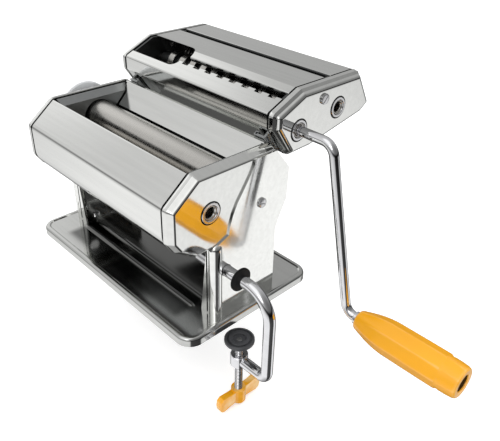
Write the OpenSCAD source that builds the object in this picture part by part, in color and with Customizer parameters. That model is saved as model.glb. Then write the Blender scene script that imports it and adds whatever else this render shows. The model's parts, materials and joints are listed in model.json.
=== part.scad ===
// Hand-cranked pasta roller machine: roller body on a tray base, slide-on noodle cutter,
// crank handle and table clamp. Millimetres. +X is the crank side, +Y the cutter side, +Z up.
// The origin is the middle of the four feet, on the table top.

/* [Base and stands] */
// Width of the tray base along X
base_w = 200; // [190:1:230]
// Depth of the tray base along Y
base_d = 122; // [116:1:150]
// Height of the base's rim above the table
base_h = 8; // [7:0.5:12]
// Corner radius of the base
base_r = 12; // [8:1:20]
// Width of the raised rim around the tray
rim_w = 4; // [3:0.5:6]
// Depth of the tray inside its rim
tray_depth = 0.8; // [0.5:0.1:1.2]
// Height of the table gap under the base's skirt
skirt_gap = 1; // [0.6:0.1:2]
// Radius of a rubber foot
foot_r = 8; // [6:0.5:10]
// Distance of a foot's centre from the edges of the base
foot_edge = 14; // [13:0.5:20]
// Radius of the pressed rib up the front of a stand
rib_r = 4.6; // [3.5:0.1:6]
// Height at which the rib's domed top begins
rib_top = 62; // [50:1:66]
// Rear edge of a stand's leg
leg_rear = 28; // [20:1:34]
// Front edge of a stand's leg, measured forward of the middle
leg_front = 26.3; // [22:0.1:30]
// Width of the foot flange that carries a stand
foot_flange = 14; // [10:1:18]

/* [Roller body] */
// Height of the body's flat top
body_top = 120.9; // [119:0.1:124]
// Height of the body's underside
body_bottom = 62.5; // [58:0.5:66]
// Distance of the front wall from the middle
body_front = 62.5; // [61:0.5:68]
// Height of the fold between the front wall and the sloping hopper front
front_fold = 104; // [100:0.5:106]
// Distance of the hopper's front edge from the middle
hopper_front = 41; // [38:0.5:42]
// Distance of the hopper's rear edge from the middle
hopper_rear = 27.4; // [26:0.1:32]
// Height of the shoulder where the rear slope meets the rear wall
shoulder = 102; // [98:0.5:106]
// Distance of an end cap's lip beyond the frame plate
lip_gap = 0.3; // [0.2:0.05:2]
// How far an end cap's flat face stands out from its lip
cap_depth = 9; // [8:0.1:14]
// How far the cap's flat face is drawn in from its lip
cap_inset = 3; // [1.5:0.1:5]
// Wall of the end caps
cap_wall = 1.2; // [0.8:0.1:1.6]
// Thickness of the cover sheets
sheet_t = 0.8; // [0.5:0.1:1]
// Thickness of the frame plates
plate_t = 2; // [1.5:0.1:2.2]
// Thickness of the stands' sheet
stand_t = 1.2; // [0.8:0.1:1.6]

/* [Flattening rollers] */
// Radius of the two smooth rollers
roller_r = 12; // [11:0.1:12.4]
// Length of the rollers' working face
roller_len = 149; // [130:0.5:149]
// Distance of the driven roller's axis in front of the middle
drive_front = 31; // [30:0.1:33]
// Height of the driven roller's axis
drive_z = 92.4; // [91:0.1:94]
// Direction from the driven roller to the adjustable one, in degrees above level
nip_angle = 18.2; // [16:0.1:20]
// Narrowest gap between the rollers
gap_min = 0.3; // [0.2:0.05:0.6]
// Offset of the adjustable roller's axis on its regulator axle
throw = 1; // [0.5:0.05:1]
// Turn of the regulator axle from the widest to the narrowest gap, in degrees
regulator_turn = 150; // [120:1:150]
// Teeth on each roller gear
roller_teeth = 24; // [24:24:24]
// Width of the gears
gear_w = 3; // [2:0.1:3.2]
// Radius of the roller journals
journal_r = 5; // [4.6:0.1:5.5]
// Outer radius of the bushes that carry the driven journals
bush_r = 7.4; // [6.8:0.1:8]

/* [Thickness knob] */
// Radius of the knob's numbered skirt
knob_r = 22.5; // [20:0.5:24]
// Radius of the knob's fluted grip
knob_grip_r = 17; // [14:0.5:19]
// Height of the knob from skirt to top
knob_h = 11.7; // [10:0.1:14]
// Travel of the knob when it is pulled out
knob_pull = 2.5; // [2:0.1:3]
// Radius at which the detent pin runs in the dial plate
detent_at = 14; // [12:0.5:16]
// Radius of the detent pin
detent_r = 1.4; // [1:0.1:1.8]

/* [Cutter] */
// Angle of the cutter's slide above level, in degrees
slide_angle = 56; // [54:0.5:58]
// Space between the body's rear slope and the cutter
cutter_gap = 3.7; // [3.5:0.1:5]
// How far the cutter's lower corner sits up the slide from the shoulder
cutter_lift = 3.7; // [2:0.1:6]
// Length of the cutter's sloping lower front
cutter_nose = 27.5; // [26:0.5:30]
// Height of the cutter's upright front edge
cutter_brow = 10.9; // [9:0.1:13]
// Rise of the cutter's sloping hopper front
cutter_rise = 11.7; // [11:0.1:13]
// Slope of the cutter's hopper front and of each roller pair, in degrees
pair_tilt = 24; // [23:0.5:25]
// Width of the cutter's flat top
cutter_top_w = 61.5; // [60:0.5:66]
// Distance between the two rollers of a pair
pair_pitch = 17; // [17:0.1:17.4]
// Outer radius of the cutting rings
ring_r = 10; // [9.6:0.1:10]
// Radius between the cutting rings
core_r = 6.5; // [6:0.1:6.7]
// Length of the cutting rollers
cutter_len = 147; // [120:1:147]
// Width of one wide noodle
wide_noodle = 6.5; // [5:0.1:8]
// Width of one thin noodle
thin_noodle = 1.9; // [1.6:0.1:3]
// Teeth on each cutter gear
cutter_teeth = 17; // [17:1:17]
// Width of the slots where the dough goes in
slot_w = 6.5; // [5:0.1:8]

/* [Crank] */
// Radius of the crank's rod
crank_r = 3.5; // [3:0.1:3.6]
// Place of the crank's upper bend along X
crank_bend_x = 119; // [112:1:130]
// Place of the crank's lower bend along X
crank_foot_x = 147; // [140:1:160]
// Distance from the crank's axis down to the grip's axis
crank_arm = 122.5; // [100:0.5:130]
// Radius of the crank's bends
crank_bend_r = 10; // [7:0.5:14]
// How far the crank reaches into its socket
socket_depth = 14; // [10:1:14]
// Start of the grip along X
grip_start = 158; // [156:1:175]
// Length of the grip
grip_len = 82; // [70:1:100]
// Largest radius of the grip
grip_r = 12.8; // [10:0.1:14]

/* [Table clamp] */
// Distance of the clamp in front of the middle
clamp_front = 18.8; // [14:0.1:20]
// Height of the clamp's rod above the table
clamp_z = 43; // [38:0.5:50]
// Radius of the clamp's rod
clamp_r = 4.15; // [3.5:0.05:4.5]
// Reach of the clamp's upright along X
clamp_reach = 133; // [130:1:136]
// Depth of the clamp's lower arm below the table
clamp_drop = 29; // [27:1:40]
// Radius of the clamp's screw
screw_r = 3; // [2.5:0.1:3.2]
// Place of the clamp's screw along X
screw_x = 105; // [104:0.5:108]
// Lead of the clamp's screw for one turn
screw_lead = 1.5; // [1:0.25:2]
// Radius of the pressure pad
pad_r = 11; // [9:0.5:12]
// Top of the pressure pad below the table
pad_drop = 9; // [8:0.5:12]
// Half length of the wing handle
wing_l = 20; // [16:0.5:24]

/* [Fits] */
// Radial clearance of a running fit
run = 0.05; // [0.03:0.01:0.08]
// Clearance between pieces fixed to each other
seat = 0.02; // [0.01:0.01:0.04]
// Clearance between covers and what moves past them
free = 0.4; // [0.3:0.05:0.5]

/* [Hidden] */
$fn = 72;

// Layout across the machine, from the middle outwards
roller_end = roller_len / 2;
cheek_x = roller_end - 0.1 - sheet_t;
gear_in = roller_end + 0.3;
gear_out = gear_in + gear_w;
plate_in = gear_out + free;
plate_out = plate_in + plate_t;
lip_x = plate_out + lip_gap;
cover_end = lip_x - 0.7;
face_x = lip_x + cap_depth;
stand_in = face_x + 0.05;
stand_out = stand_in + stand_t;
socket_x = face_x - 0.1;

// Outline of the roller body, seen along X, counter-clockwise
slide_dir = [-cos(slide_angle), sin(slide_angle)];
slide_out = [sin(slide_angle), cos(slide_angle)];
body_rear = hopper_rear + (body_top - shoulder) / tan(slide_angle);
front_low = 80;
chin = [-57, 71.7];
body_outline = [
    [hopper_rear, body_top], [-hopper_front, body_top], [-body_front + 0.2, front_fold],
    [-body_front, front_low], chin, [-44, body_bottom], [20, body_bottom],
    [body_rear - 5, body_bottom + 9.5], [body_rear, front_low + 2], [body_rear, shoulder]
];
cover_in = 0.4;

// Roller axes [y, z]
nip_dir = [cos(nip_angle), sin(nip_angle)];
drive_at = [-drive_front, drive_z];
regulator_at = drive_at + (2 * roller_r + gap_min - throw * cos(regulator_turn)) * nip_dir;
roller_at = regulator_at + throw * nip_dir;

// Cutter outline and axes, all from its lower corner beside the slide
corner = [body_rear, shoulder] + cutter_gap * slide_out + cutter_lift * slide_dir;
nose = corner + cutter_nose * slide_dir;
brow = nose + [0, cutter_brow];
crest = brow + cutter_rise * [1 / tan(pair_tilt), 1];
cutter_outline = [
    crest, brow, nose, corner, corner + [20, 0.6], corner + [77, 11.3], corner + [88, 18.5],
    crest + [cutter_top_w, 0]
];
pair_dir = [cos(pair_tilt), sin(pair_tilt)];
pair_down = [sin(pair_tilt), -cos(pair_tilt)];
wide_drive_at = corner + [6.5, 18.5];
wide_idle_at = wide_drive_at + pair_pitch * pair_dir;
thin_drive_at = wide_drive_at + [40.5, 6.1];
thin_idle_at = thin_drive_at + pair_pitch * pair_dir;
slide_travel = 28;

// Where the tie rods and screws stand
front_rod = [-44, 73.5];
rear_rod = [14, 74.2];
back_rod = [30, 92];
rod_r = 4;
cutter_rods = [corner + [-8, 26], corner + [35, 11], corner + [77, 21]];
cutter_rod_r = 3.5;
stand_screw_at = [13, 83.5];
cutter_screw_at = corner + [30.7, 34.8];
screw_hole_r = 2.1;
screw_shank_r = 2;
clamp_at = [-clamp_front, clamp_z];

// Unit normals, and outlines and open paths moved by d towards their left
function left_of(a, b) = [a[1] - b[1], b[0] - a[0]] / norm(b - a);
function mitre(n1, n2, d) = d * (n1 + n2) / (1 + n1 * n2);
function ring_offset(p, d) = [for (i = [0:len(p) - 1])
    p[i] + mitre(left_of(p[(i + len(p) - 1) % len(p)], p[i]), left_of(p[i], p[(i + 1) % len(p)]), d)];
function path_offset(p, d) = [for (i = [0:len(p) - 1])
    let (a = i > 0 ? left_of(p[i - 1], p[i]) : left_of(p[0], p[1]),
         b = i < len(p) - 1 ? left_of(p[i], p[i + 1]) : a)
    p[i] + mitre(a, b, d)];
function reversed(p) = [for (i = [len(p) - 1:-1:0]) p[i]];
// Points along an arc in equal steps
function arc(c, r, from, to, steps) = [for (i = [0:steps])
    c + r * [cos(from + (to - from) * i / steps), sin(from + (to - from) * i / steps)]];

// A cover sheet whose inward folds stop short of the frame plates
module cover_sheet(path, t, outline) {
    difference() {
        yz_sheet(path, t, cover_end);
        both_sides() yz_prism(ring_offset(outline, cover_in + sheet_t), plate_in - free, cover_end + 1);
    }
}

module yz_prism(points, x0, x1)
    translate([x0, 0, 0]) rotate([90, 0, 90]) linear_extrude(x1 - x0) polygon(points);

module yz_sheet(path, t, half)
    yz_prism(concat(path, reversed(path_offset(path, t))), -half, half);

module x_cyl(r, x0, x1, at)
    translate([x0, at[0], at[1]]) rotate([0, 90, 0]) cylinder(r = r, h = x1 - x0);

module both_sides() {
    children();
    mirror([1, 0, 0]) children();
}

// A rectangle with round corners, as squares and circles
module round_rect(w, d, r) {
    square([w - 2 * r, d], center = true);
    square([w, d - 2 * r], center = true);
    for (x = [-1, 1], y = [-1, 1]) translate([x * (w / 2 - r), y * (d / 2 - r)]) circle(r);
}

// A spur gear's outline: straight-sided teeth, the first one pointing along start
function gear_outline(teeth, tip, root, tip_w, root_w, start) = [for (i = [0:teeth - 1])
    let (a = start + 360 * i / teeth, t = tip_w / tip * 90 / PI, f = root_w / root * 90 / PI)
    each [for (q = [[root, -f], [tip, -t], [tip, t], [root, f]])
        q[0] * [cos(a + q[1]), sin(a + q[1])]]];

module gear(outline, at, bore) {
    difference() {
        yz_prism([for (p = outline) p + at], gear_in, gear_out);
        x_cyl(bore, gear_in - 1, gear_out + 1, at);
    }
}

// A round rod bent in the XZ plane: straight stretches that run a little way into true elbows
module bent_rod(points, bends, r) {
    last = len(points) - 1;
    lap = 0.4;
    swell = 0.02;
    dirs = [for (i = [0:last - 1]) (points[i + 1] - points[i]) / norm(points[i + 1] - points[i])];
    turns = [for (i = [1:last - 1]) let (a = dirs[i - 1], b = dirs[i])
        atan2(a[0] * b[1] - a[1] * b[0], a * b)];
    setbacks = [for (i = [1:last - 1]) bends[i - 1] * tan(abs(turns[i - 1]) / 2)];
    for (i = [0:last - 1]) {
        a = points[i] + (i > 0 ? setbacks[i - 1] - lap : 0) * dirs[i];
        b = points[i + 1] - (i < last - 1 ? setbacks[i] - lap : 0) * dirs[i];
        translate([a[0], 0, a[1]]) rotate([0, 90 - atan2(dirs[i][1], dirs[i][0]), 0])
            cylinder(r = r, h = norm(b - a));
    }
    for (i = [1:last - 1]) {
        turn = turns[i - 1];
        a = dirs[i - 1];
        side = sign(turn) * [-a[1], a[0]];
        start = points[i] - setbacks[i - 1] * a;
        centre = start + bends[i - 1] * side;
        from = atan2(start[1] - centre[1], start[0] - centre[0]);
        translate([centre[0], 0, centre[1]]) rotate([90, 0, 0])
            rotate([0, 0, turn > 0 ? from : from + turn])
            rotate_extrude(angle = abs(turn)) translate([bends[i - 1], 0]) circle(r + swell);
    }
}

// ---- Base and stands ----

base_screw_at = [for (x = [-1, 1], y = [-18, 20]) [x * (stand_in - foot_flange + 6), y]];
base_top = base_h - tray_depth;
base_skin = 1;
bead_at = [-33, -22, 48];
bead_r = 1.1;

module base_plate() {
    color("gainsboro") difference() {
        translate([0, 0, skirt_gap]) linear_extrude(base_h - skirt_gap) round_rect(base_w, base_d, base_r);
        translate([0, 0, base_top]) linear_extrude(base_h)
            round_rect(base_w - 2 * rim_w, base_d - 2 * rim_w, base_r - rim_w);
        translate([0, 0, -1]) linear_extrude(base_top - base_skin + 1)
            round_rect(base_w - 2 * stand_t, base_d - 2 * stand_t, base_r - stand_t);
        for (p = base_screw_at) translate([p[0], p[1], 0]) cylinder(r = screw_hole_r, h = base_h + 1);
    }
    color("gainsboro") for (y = bead_at) intersection() {
        x_cyl(bead_r, -base_w / 2 + 27, base_w / 2 - 27, [y, base_top]);
        translate([-base_w / 2, y - 2, base_top]) cube([base_w, 4, 2]);
    }
}

module rubber_feet() {
    color("dimgray") for (x = [-1, 1], y = [-1, 1])
        translate([x * (base_w / 2 - foot_edge), y * (base_d / 2 - foot_edge), 0])
            cylinder(r = foot_r, h = base_top - base_skin - seat);
}

stand_foot = base_top + seat;
foot_top = stand_foot + stand_t;

module base_screws() {
    color("silver") for (p = base_screw_at) translate([p[0], p[1], 0]) {
        translate([0, 0, base_top - base_skin - 1.2]) cylinder(r = screw_shank_r, h = foot_top - base_top + 3);
        translate([0, 0, foot_top + seat]) cylinder(r = 3.6, h = 1.2);
        translate([0, 0, foot_top + seat + 1.2]) cylinder(r = 2.6, h = 0.6);
        translate([0, 0, base_top - base_skin - 1.2 - seat]) cylinder(r = 3.6, h = 1.2);
    }
}

// Front edge of the stand's panel where it laps the end cap, from the top down
seam = [[6, 118], [5.4, 114], [2, 108], [-4, 99], [-9, 92], [-13, 84], [-15.6, 76], [-16.5, 70]];
leg_seam = concat(seam, [[-leg_front, body_bottom + 3.5]]);
stand_outline = concat(leg_seam, [
    [-leg_front, stand_foot], [leg_rear, stand_foot], [leg_rear, 56], [leg_rear + 3, 64],
    [body_rear - 2, front_low - 2], [body_rear - 1.2, shoulder], [hopper_rear - 1.5, 118]
]);
rib_at = [stand_out - 2.6, -leg_front];

module stand() {
    difference() {
        union() {
            yz_prism(stand_outline, stand_in, stand_out);
            // The rib up the front: a round pressing with a domed top
            translate([rib_at[0], rib_at[1], stand_foot]) cylinder(r = rib_r, h = rib_top - stand_foot);
            translate([rib_at[0], rib_at[1], rib_top]) sphere(r = rib_r);
            // Foot flange
            translate([stand_in - foot_flange, -leg_front, stand_foot])
                cube([foot_flange + 0.5, leg_front + leg_rear, stand_t]);
            // Narrow flange down the front, wider at the foot, and one down the back
            translate([0, rib_at[1] - rib_r + 0.8 + stand_t, 0]) rotate([90, 0, 0]) linear_extrude(stand_t)
                polygon([[stand_in - 12.5, stand_foot], [rib_at[0] - 2, stand_foot],
                    [rib_at[0] - 2, rib_top + 1], [stand_in - 6, rib_top + 1]]);
            translate([stand_in - 7, leg_rear - stand_t, stand_foot]) cube([7.5, stand_t, 48]);
        }
        // The rib is hollow from behind
        translate([rib_at[0], rib_at[1], stand_foot - 1]) cylinder(r = rib_r - stand_t, h = rib_top - stand_foot + 1);
        translate([rib_at[0], rib_at[1], rib_top]) sphere(r = rib_r - stand_t);
        translate([rib_at[0] - 2 * rib_r - 1.2, rib_at[1] - 1.6, stand_foot + stand_t])
            cube([2 * rib_r, 2 * rib_r, rib_top]);
        // Groove between the front flange and the rib
        translate([rib_at[0] - rib_r - 0.6, rib_at[1] - rib_r - 1, stand_foot + stand_t])
            cube([1.4, rib_r + 0.2, rib_top - stand_foot - 2]);
        x_cyl(screw_hole_r, stand_in - 1, stand_out + 1, stand_screw_at);
        x_cyl(clamp_r + free, stand_in - 1, stand_out + 8, clamp_at);
        // Room behind the panel for the clamp's socket and for the end cap
        x_cyl(socket_flange_r + seat, stand_in - 10, stand_in, clamp_at);
        translate([0, -base_d / 2, body_bottom - seat]) cube([stand_in, base_d, body_top]);
        for (p = base_screw_at) if (p[0] > 0)
            translate([p[0], p[1], stand_foot - 1]) cylinder(r = screw_hole_r, h = stand_t + 2);
    }
}

module right_stand() { color("whitesmoke") stand(); }
module left_stand() {
    color("whitesmoke") mirror([1, 0, 0]) difference() {
        stand();
        x_cyl(dial_r + free, stand_in - 1, stand_out + 1, regulator_at);
    }
}

// ---- Frame, caps and covers ----

plate_line = cover_in + sheet_t + run;
cheek_top = body_top - 1.2;
cheek_front = -hopper_front + 2.1;
cheek_rear = hopper_rear - 4.6;
plate_holes = [[drive_at, bush_r + seat], [regulator_at, bush_r + seat],
    [front_rod, screw_hole_r], [rear_rod, screw_hole_r], [back_rod, screw_hole_r],
    [stand_screw_at, screw_shank_r + seat]];

module frame_plate() {
    difference() {
        yz_prism(ring_offset(body_outline, plate_line), plate_in, plate_out);
        // Room for the flared tops of the hopper's inner walls
        yz_prism([[cheek_front - 3, cheek_top - 1.9], [cheek_rear + 3, cheek_top - 1.9],
            [cheek_rear + 3, body_top], [cheek_front - 3, body_top]], plate_in - 1, plate_out + 1);
        for (h = plate_holes) x_cyl(h[1], plate_in - 1, plate_out + 1, h[0]);
    }
}

module right_frame_plate() { color("lightsteelblue") frame_plate(); }
module left_frame_plate() { color("lightsteelblue") mirror([1, 0, 0]) frame_plate(); }

// A pressed cap: a straight lip, then sides that lean in to a flat face
module cap_shell(outline, inset) {
    lip = 1.6;
    difference() {
        hull() {
            yz_prism(outline, lip_x, lip_x + lip);
            yz_prism(ring_offset(outline, inset), lip_x, face_x);
        }
        hull() {
            yz_prism(ring_offset(outline, cap_wall), lip_x - 1, lip_x + lip);
            yz_prism(ring_offset(outline, inset + cap_wall), lip_x - 1, face_x - cap_wall);
        }
    }
}

module cap_boss(at, r) x_cyl(r, plate_out + seat, face_x - cap_wall + 0.1, at);

module right_end_cap() {
    color("gainsboro") difference() {
        union() {
            cap_shell(body_outline, cap_inset);
            cap_boss(stand_screw_at, 4.5);
        }
        x_cyl(screw_hole_r, plate_out - 1, face_x + 1, stand_screw_at);
        x_cyl(bush_r + run, face_x - 3, face_x + 1, drive_at);
    }
}

module left_end_cap() {
    color("gainsboro") mirror([1, 0, 0]) difference() {
        union() {
            cap_shell(body_outline, cap_inset);
            cap_boss(stand_screw_at, 4.5);
        }
        x_cyl(screw_hole_r, plate_out - 1, face_x + 1, stand_screw_at);
        x_cyl(regulator_hub_r, face_x - 3, face_x + 1, regulator_at);
    }
}

cover_path = ring_offset(body_outline, cover_in);

module front_cover() {
    path = concat([cover_path[1] + [3.6, -9.5]], [for (i = [1:4]) cover_path[i]],
        [cover_path[4] + 0.8 * (cover_path[5] - cover_path[4])]);
    color("gainsboro") cover_sheet(path, sheet_t, body_outline);
}

hopper_foot = [9, 104.2];

module rear_hopper_plate() {
    path = [hopper_foot, cover_path[0] + [-2.6, -0.1], cover_path[0] + [-0.3, -0.1]];
    color("gainsboro") cover_sheet(path, -sheet_t, body_outline);
}

module rear_cover() {
    path = [cover_path[6] + [4, 0.3], cover_path[7], cover_path[8], cover_path[9],
        cover_path[0] - 1.6 * slide_dir];
    color("gainsboro") cover_sheet(path, sheet_t, body_outline);
}

// Inner side walls of the hopper, cut round the rollers and flared at the top
module hopper_cheeks() {
    flare = body_top - 5.5;
    module cheek() difference() {
        union() {
            yz_prism([[-36.4, 112.6], [-37.2, flare + 0.2], [18.6, flare + 0.2], [9, 105.4], [8.2, 98],
                [-20, 98], [-36.4, 98]], cheek_x, cheek_x + sheet_t);
            hull() {
                yz_prism([[-37.3, flare], [-37.3, flare + 0.2], [18.4, flare + 0.2], [18.4, flare]],
                    cheek_x, cheek_x + sheet_t);
                yz_prism([[cheek_front, cheek_top - 0.2], [cheek_front, cheek_top],
                    [cheek_rear, cheek_top], [cheek_rear, cheek_top - 0.2]],
                    cover_end - sheet_t, cover_end);
            }
        }
        x_cyl(roller_r + free, cheek_x - 1, cheek_x + 2, drive_at);
        x_cyl(roller_r + throw + free, cheek_x - 1, cheek_x + 2, regulator_at);
    }
    color("darkgray") both_sides() cheek();
}

// Spring-steel blades that keep each roller clean, resting on the tie rods
module roller_scrapers() {
    module blade(roller, r, angle, rod, lift) {
        tip = roller + r * [cos(angle), sin(angle)];
        base = rod + (rod_r + 0.1) * lift;
        way = (base - tip) / norm(base - tip);
        side = [-way[1], way[0]] * sheet_t / 2;
        yz_prism([tip + side, tip - side, base - side, base + side], -cheek_x + free, cheek_x - free);
    }
    color("silver") {
        blade(drive_at, roller_r + free + 0.3, 248, front_rod + [0, 0.4], [0.35, 0.9]);
        blade(regulator_at, roller_r + throw + free + 0.3, 300, rear_rod + [0, 0.4], [-0.35, 0.9]);
    }
}

module rod_between(at, r, reach, hole) {
    difference() {
        x_cyl(r, -reach, reach, at);
        for (x = [-1, 1]) x_cyl(hole, x > 0 ? reach - 12 : -reach - 1, x > 0 ? reach + 1 : -reach + 12, at);
    }
}

module tie_rods() {
    color("silver") for (p = [front_rod, rear_rod, back_rod])
        rod_between(p, rod_r, plate_in - seat, screw_shank_r + seat);
}

module side_screw(at, head_r, head_x, shank_x) {
    x_cyl(screw_shank_r, shank_x, head_x + 0.2, at);
    difference() {
        x_cyl(head_r, head_x, head_x + 1.6, at);
        translate([head_x + 1, at[0] - head_r, at[1] - 0.4]) cube([2, 2 * head_r, 0.8]);
    }
}

module tie_rod_screws() {
    color("silver") both_sides() for (p = [front_rod, rear_rod, back_rod])
        side_screw(p, 3.8, plate_out + seat, plate_in - 10);
}

module stand_screws() {
    color("silver") both_sides() side_screw(stand_screw_at, 3.6, stand_out + seat, plate_in + 0.2);
}

bush_lip = 1.2;

// Bush for a driven journal: flange against the plate, sleeve out to the cap's face
module face_bush(at) {
    difference() {
        union() {
            x_cyl(bush_r, plate_in + 0.1, face_x + 0.6, at);
            x_cyl(bush_r + 1.4, plate_out + seat, plate_out + bush_lip, at);
        }
        x_cyl(journal_r + run, plate_in - 1, face_x + 2, at);
    }
}

module drive_bushes() {
    color("silver") {
        face_bush(drive_at);
        mirror([1, 0, 0]) difference() {
            union() {
                x_cyl(bush_r, plate_in + 0.1, plate_out + bush_lip, drive_at);
                x_cyl(bush_r + 1.4, plate_out + seat, plate_out + bush_lip, drive_at);
            }
            x_cyl(journal_r + run, plate_in - 1, plate_out + 3, drive_at);
        }
    }
}

regulator_hub_r = 6.4;
regulator_r = 4.5;

module regulator_bushes() {
    color("silver") {
        difference() {
            union() {
                x_cyl(bush_r, plate_in + 0.1, plate_out + bush_lip, regulator_at);
                x_cyl(bush_r + 1.4, plate_out + seat, plate_out + bush_lip, regulator_at);
            }
            x_cyl(regulator_r + run, plate_in - 1, plate_out + 3, regulator_at);
        }
        mirror([1, 0, 0]) difference() {
            union() {
                x_cyl(bush_r, plate_in + 0.1, plate_out + bush_lip, regulator_at);
                x_cyl(bush_r + 1.4, plate_out + seat, plate_out + bush_lip, regulator_at);
                x_cyl(regulator_hub_r - seat, plate_out, face_x + 0.6, regulator_at);
            }
            x_cyl(regulator_r + run, plate_in - 1, face_x + 2, regulator_at);
        }
    }
}

// Dial plate with the curved groove that the knob's pin runs in
dial_in = face_x + seat;
dial_out = dial_in + 1.9;
dial_r = detent_at + 3.4;
groove_floor = dial_out - 1.4;
pin_start = nip_angle + 180;

module dial_plate() {
    color("silver") difference() {
        x_cyl_left(dial_r, dial_in, dial_out, regulator_at);
        x_cyl_left(regulator_hub_r, dial_in - 1, dial_out + 1, regulator_at);
        translate([-dial_out - 1, regulator_at[0], regulator_at[1]]) rotate([90, 0, 90])
            linear_extrude(dial_out - groove_floor + 1) {
                groove_sector();
            }
    }
}

// The groove's plan: a band between two circles, cut to the regulator's turn, with round ends
module groove_sector() {
    w = detent_r + 0.15;
    reach = 2 * detent_at;
    intersection() {
        difference() {
            circle(detent_at + w);
            circle(detent_at - w);
        }
        polygon(concat([[0, 0]], [for (i = [0:5])
            reach * [cos(pin_start + regulator_turn * i / 5), sin(pin_start + regulator_turn * i / 5)]]));
    }
    for (a = [pin_start, pin_start + regulator_turn]) translate(detent_at * [cos(a), sin(a)]) circle(w);
}

module x_cyl_left(r, x0, x1, at) x_cyl(r, -x1, -x0, at);

// ---- Flattening rollers ----

module socket_bore(at) {
    x_cyl(crank_r + run, socket_x - socket_depth, socket_x + 1, at);
    x_cyl(crank_r + run + 0.7, socket_x - 1, socket_x + 1, at);
    translate([socket_x - socket_depth - 4, at[0] - crank_r, at[1] - 1.1]) cube([5, 2 * crank_r, 2.2]);
}

module drive_roller() {
    color("silver") difference() {
        union() {
            x_cyl(roller_r, -roller_end, roller_end, drive_at);
            x_cyl(journal_r, -plate_out - 0.8, socket_x, drive_at);
        }
        socket_bore(drive_at);
    }
}

// Long thin teeth keep the roller gears in mesh over the whole range of gaps
gear_tip = roller_r + 1.5;
gear_root = 2 * roller_r + gap_min - gear_tip - 0.2;
mesh_shift = 2 * asin(throw * sin(regulator_turn) / (2 * roller_r + gap_min));
roller_gear_out = gear_outline(roller_teeth, gear_tip, gear_root, 0.75, 1.25, nip_angle);
adjust_gear_out = gear_outline(roller_teeth, gear_tip, gear_root, 0.75, 1.25,
    nip_angle + 180 + 180 / roller_teeth + mesh_shift);

module drive_gear() { color("goldenrod") gear(roller_gear_out, drive_at, journal_r + seat); }
module adjustable_gear() { color("goldenrod") gear(adjust_gear_out, roller_at, eccentric_r + run); }

eccentric_r = 6;
eccentric_end = gear_out + 0.1;

module adjustable_roller() {
    color("silver") difference() {
        x_cyl(roller_r, -roller_end, gear_in - seat, roller_at);
        difference() {
            x_cyl(roller_r + 1, roller_end, gear_in + 1, roller_at);
            x_cyl(eccentric_r + 2.5, roller_end - 1, gear_in + 2, roller_at);
        }
        x_cyl(eccentric_r + run, -roller_end - 1, gear_in + 1, roller_at);
    }
}

knob_in = dial_out + 0.8;
knob_out = knob_in + knob_h;
axle_tip = knob_out - 3.4;
recess_r = 8;
recess_floor = knob_in + 4.4;

module regulator_axle() {
    color("silver") {
        difference() {
            union() {
                x_cyl(eccentric_r, -roller_end - 0.2, eccentric_end, roller_at);
                x_cyl(eccentric_r + 2, -plate_in + 0.2, -roller_end - 0.2, roller_at);
                x_cyl(regulator_r, -axle_tip, plate_out + 0.8, regulator_at);
                translate([-axle_tip, regulator_at[0] - 0.8, regulator_at[1]]) cube([axle_tip - knob_in, 1.6, regulator_r + 1]);
            }
            x_cyl(screw_shank_r + seat, -axle_tip - 1, -axle_tip + 9, regulator_at);
        }
    }
}

module knob_screw() {
    color("silver") {
        x_cyl(screw_shank_r, -axle_tip - 0.3, -axle_tip + 8, regulator_at);
        difference() {
            x_cyl(recess_r - 0.6, -axle_tip - 2, -axle_tip - seat, regulator_at);
            translate([-axle_tip - 3, regulator_at[0] - 5, regulator_at[1] - 0.5]) cube([1.8, 10, 1]);
        }
    }
}

flutes = 10;

module thickness_knob() {
    color("lightgray") difference() {
        union() {
            x_cyl_left(knob_r, knob_in, knob_in + 3.2, regulator_at);
            x_cyl_left(knob_grip_r, knob_in, knob_out, regulator_at);
        }
        x_cyl_left(regulator_r + run, knob_in - 1, knob_out + 1, regulator_at);
        x_cyl_left(recess_r, recess_floor, knob_out + 1, regulator_at);
        translate([-recess_floor - 1, regulator_at[0] - 0.8 - run, regulator_at[1]])
            cube([recess_floor - knob_in + 2, 1.6 + 2 * run, regulator_r + 1 + run]);
        for (i = [0:flutes - 1]) let (a = pin_start + 360 * (i + 0.5) / flutes)
            x_cyl_left(2.2, knob_in + 3.2, knob_out + 1,
                regulator_at + (knob_grip_r + 0.6) * [cos(a), sin(a)]);
        x_cyl_left(detent_r + seat, knob_in - 1, knob_in + 3.2, regulator_at
            + detent_at * [cos(pin_start), sin(pin_start)]);
    }
}

module detent_pin() {
    color("silver") x_cyl_left(detent_r, groove_floor + 0.1, knob_in + 3, regulator_at
        + detent_at * [cos(pin_start), sin(pin_start)]);
}

// A coil spring as one swept tube, between the recess's floor and the screw's head
spring_turns = 2.5;
spring_r = 6.3;
spring_wire = 0.45;
spring_steps = 60;

module knob_spring() {
    x0 = recess_floor + spring_wire + 0.1;
    x1 = axle_tip - spring_wire - 0.1;
    rings = [for (i = [0:spring_steps]) let (u = i / spring_steps, a = 360 * spring_turns * u)
        for (k = [0:7]) let (b = 45 * k, r = spring_r + spring_wire * cos(b))
            [-(x0 + (x1 - x0) * u + spring_wire * sin(b)), regulator_at[0] + r * cos(a),
                regulator_at[1] + r * sin(a)]];
    sides = [for (i = [0:spring_steps - 1], k = [0:7])
        [8 * i + k, 8 * i + (k + 1) % 8, 8 * i + 8 + (k + 1) % 8, 8 * i + 8 + k]];
    color("silver") polyhedron(rings, concat([[for (k = [7:-1:0]) k]], sides,
        [[for (k = [0:7]) 8 * spring_steps + k]]));
}

// ---- Cutter slide ----

// Points across the slide: x is the machine's X, y the distance out from the rear slope
rail_len = 24;
rail_foot = [body_rear, shoulder] + (cover_in * -1) * slide_out + 0.6 * slide_dir;

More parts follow.
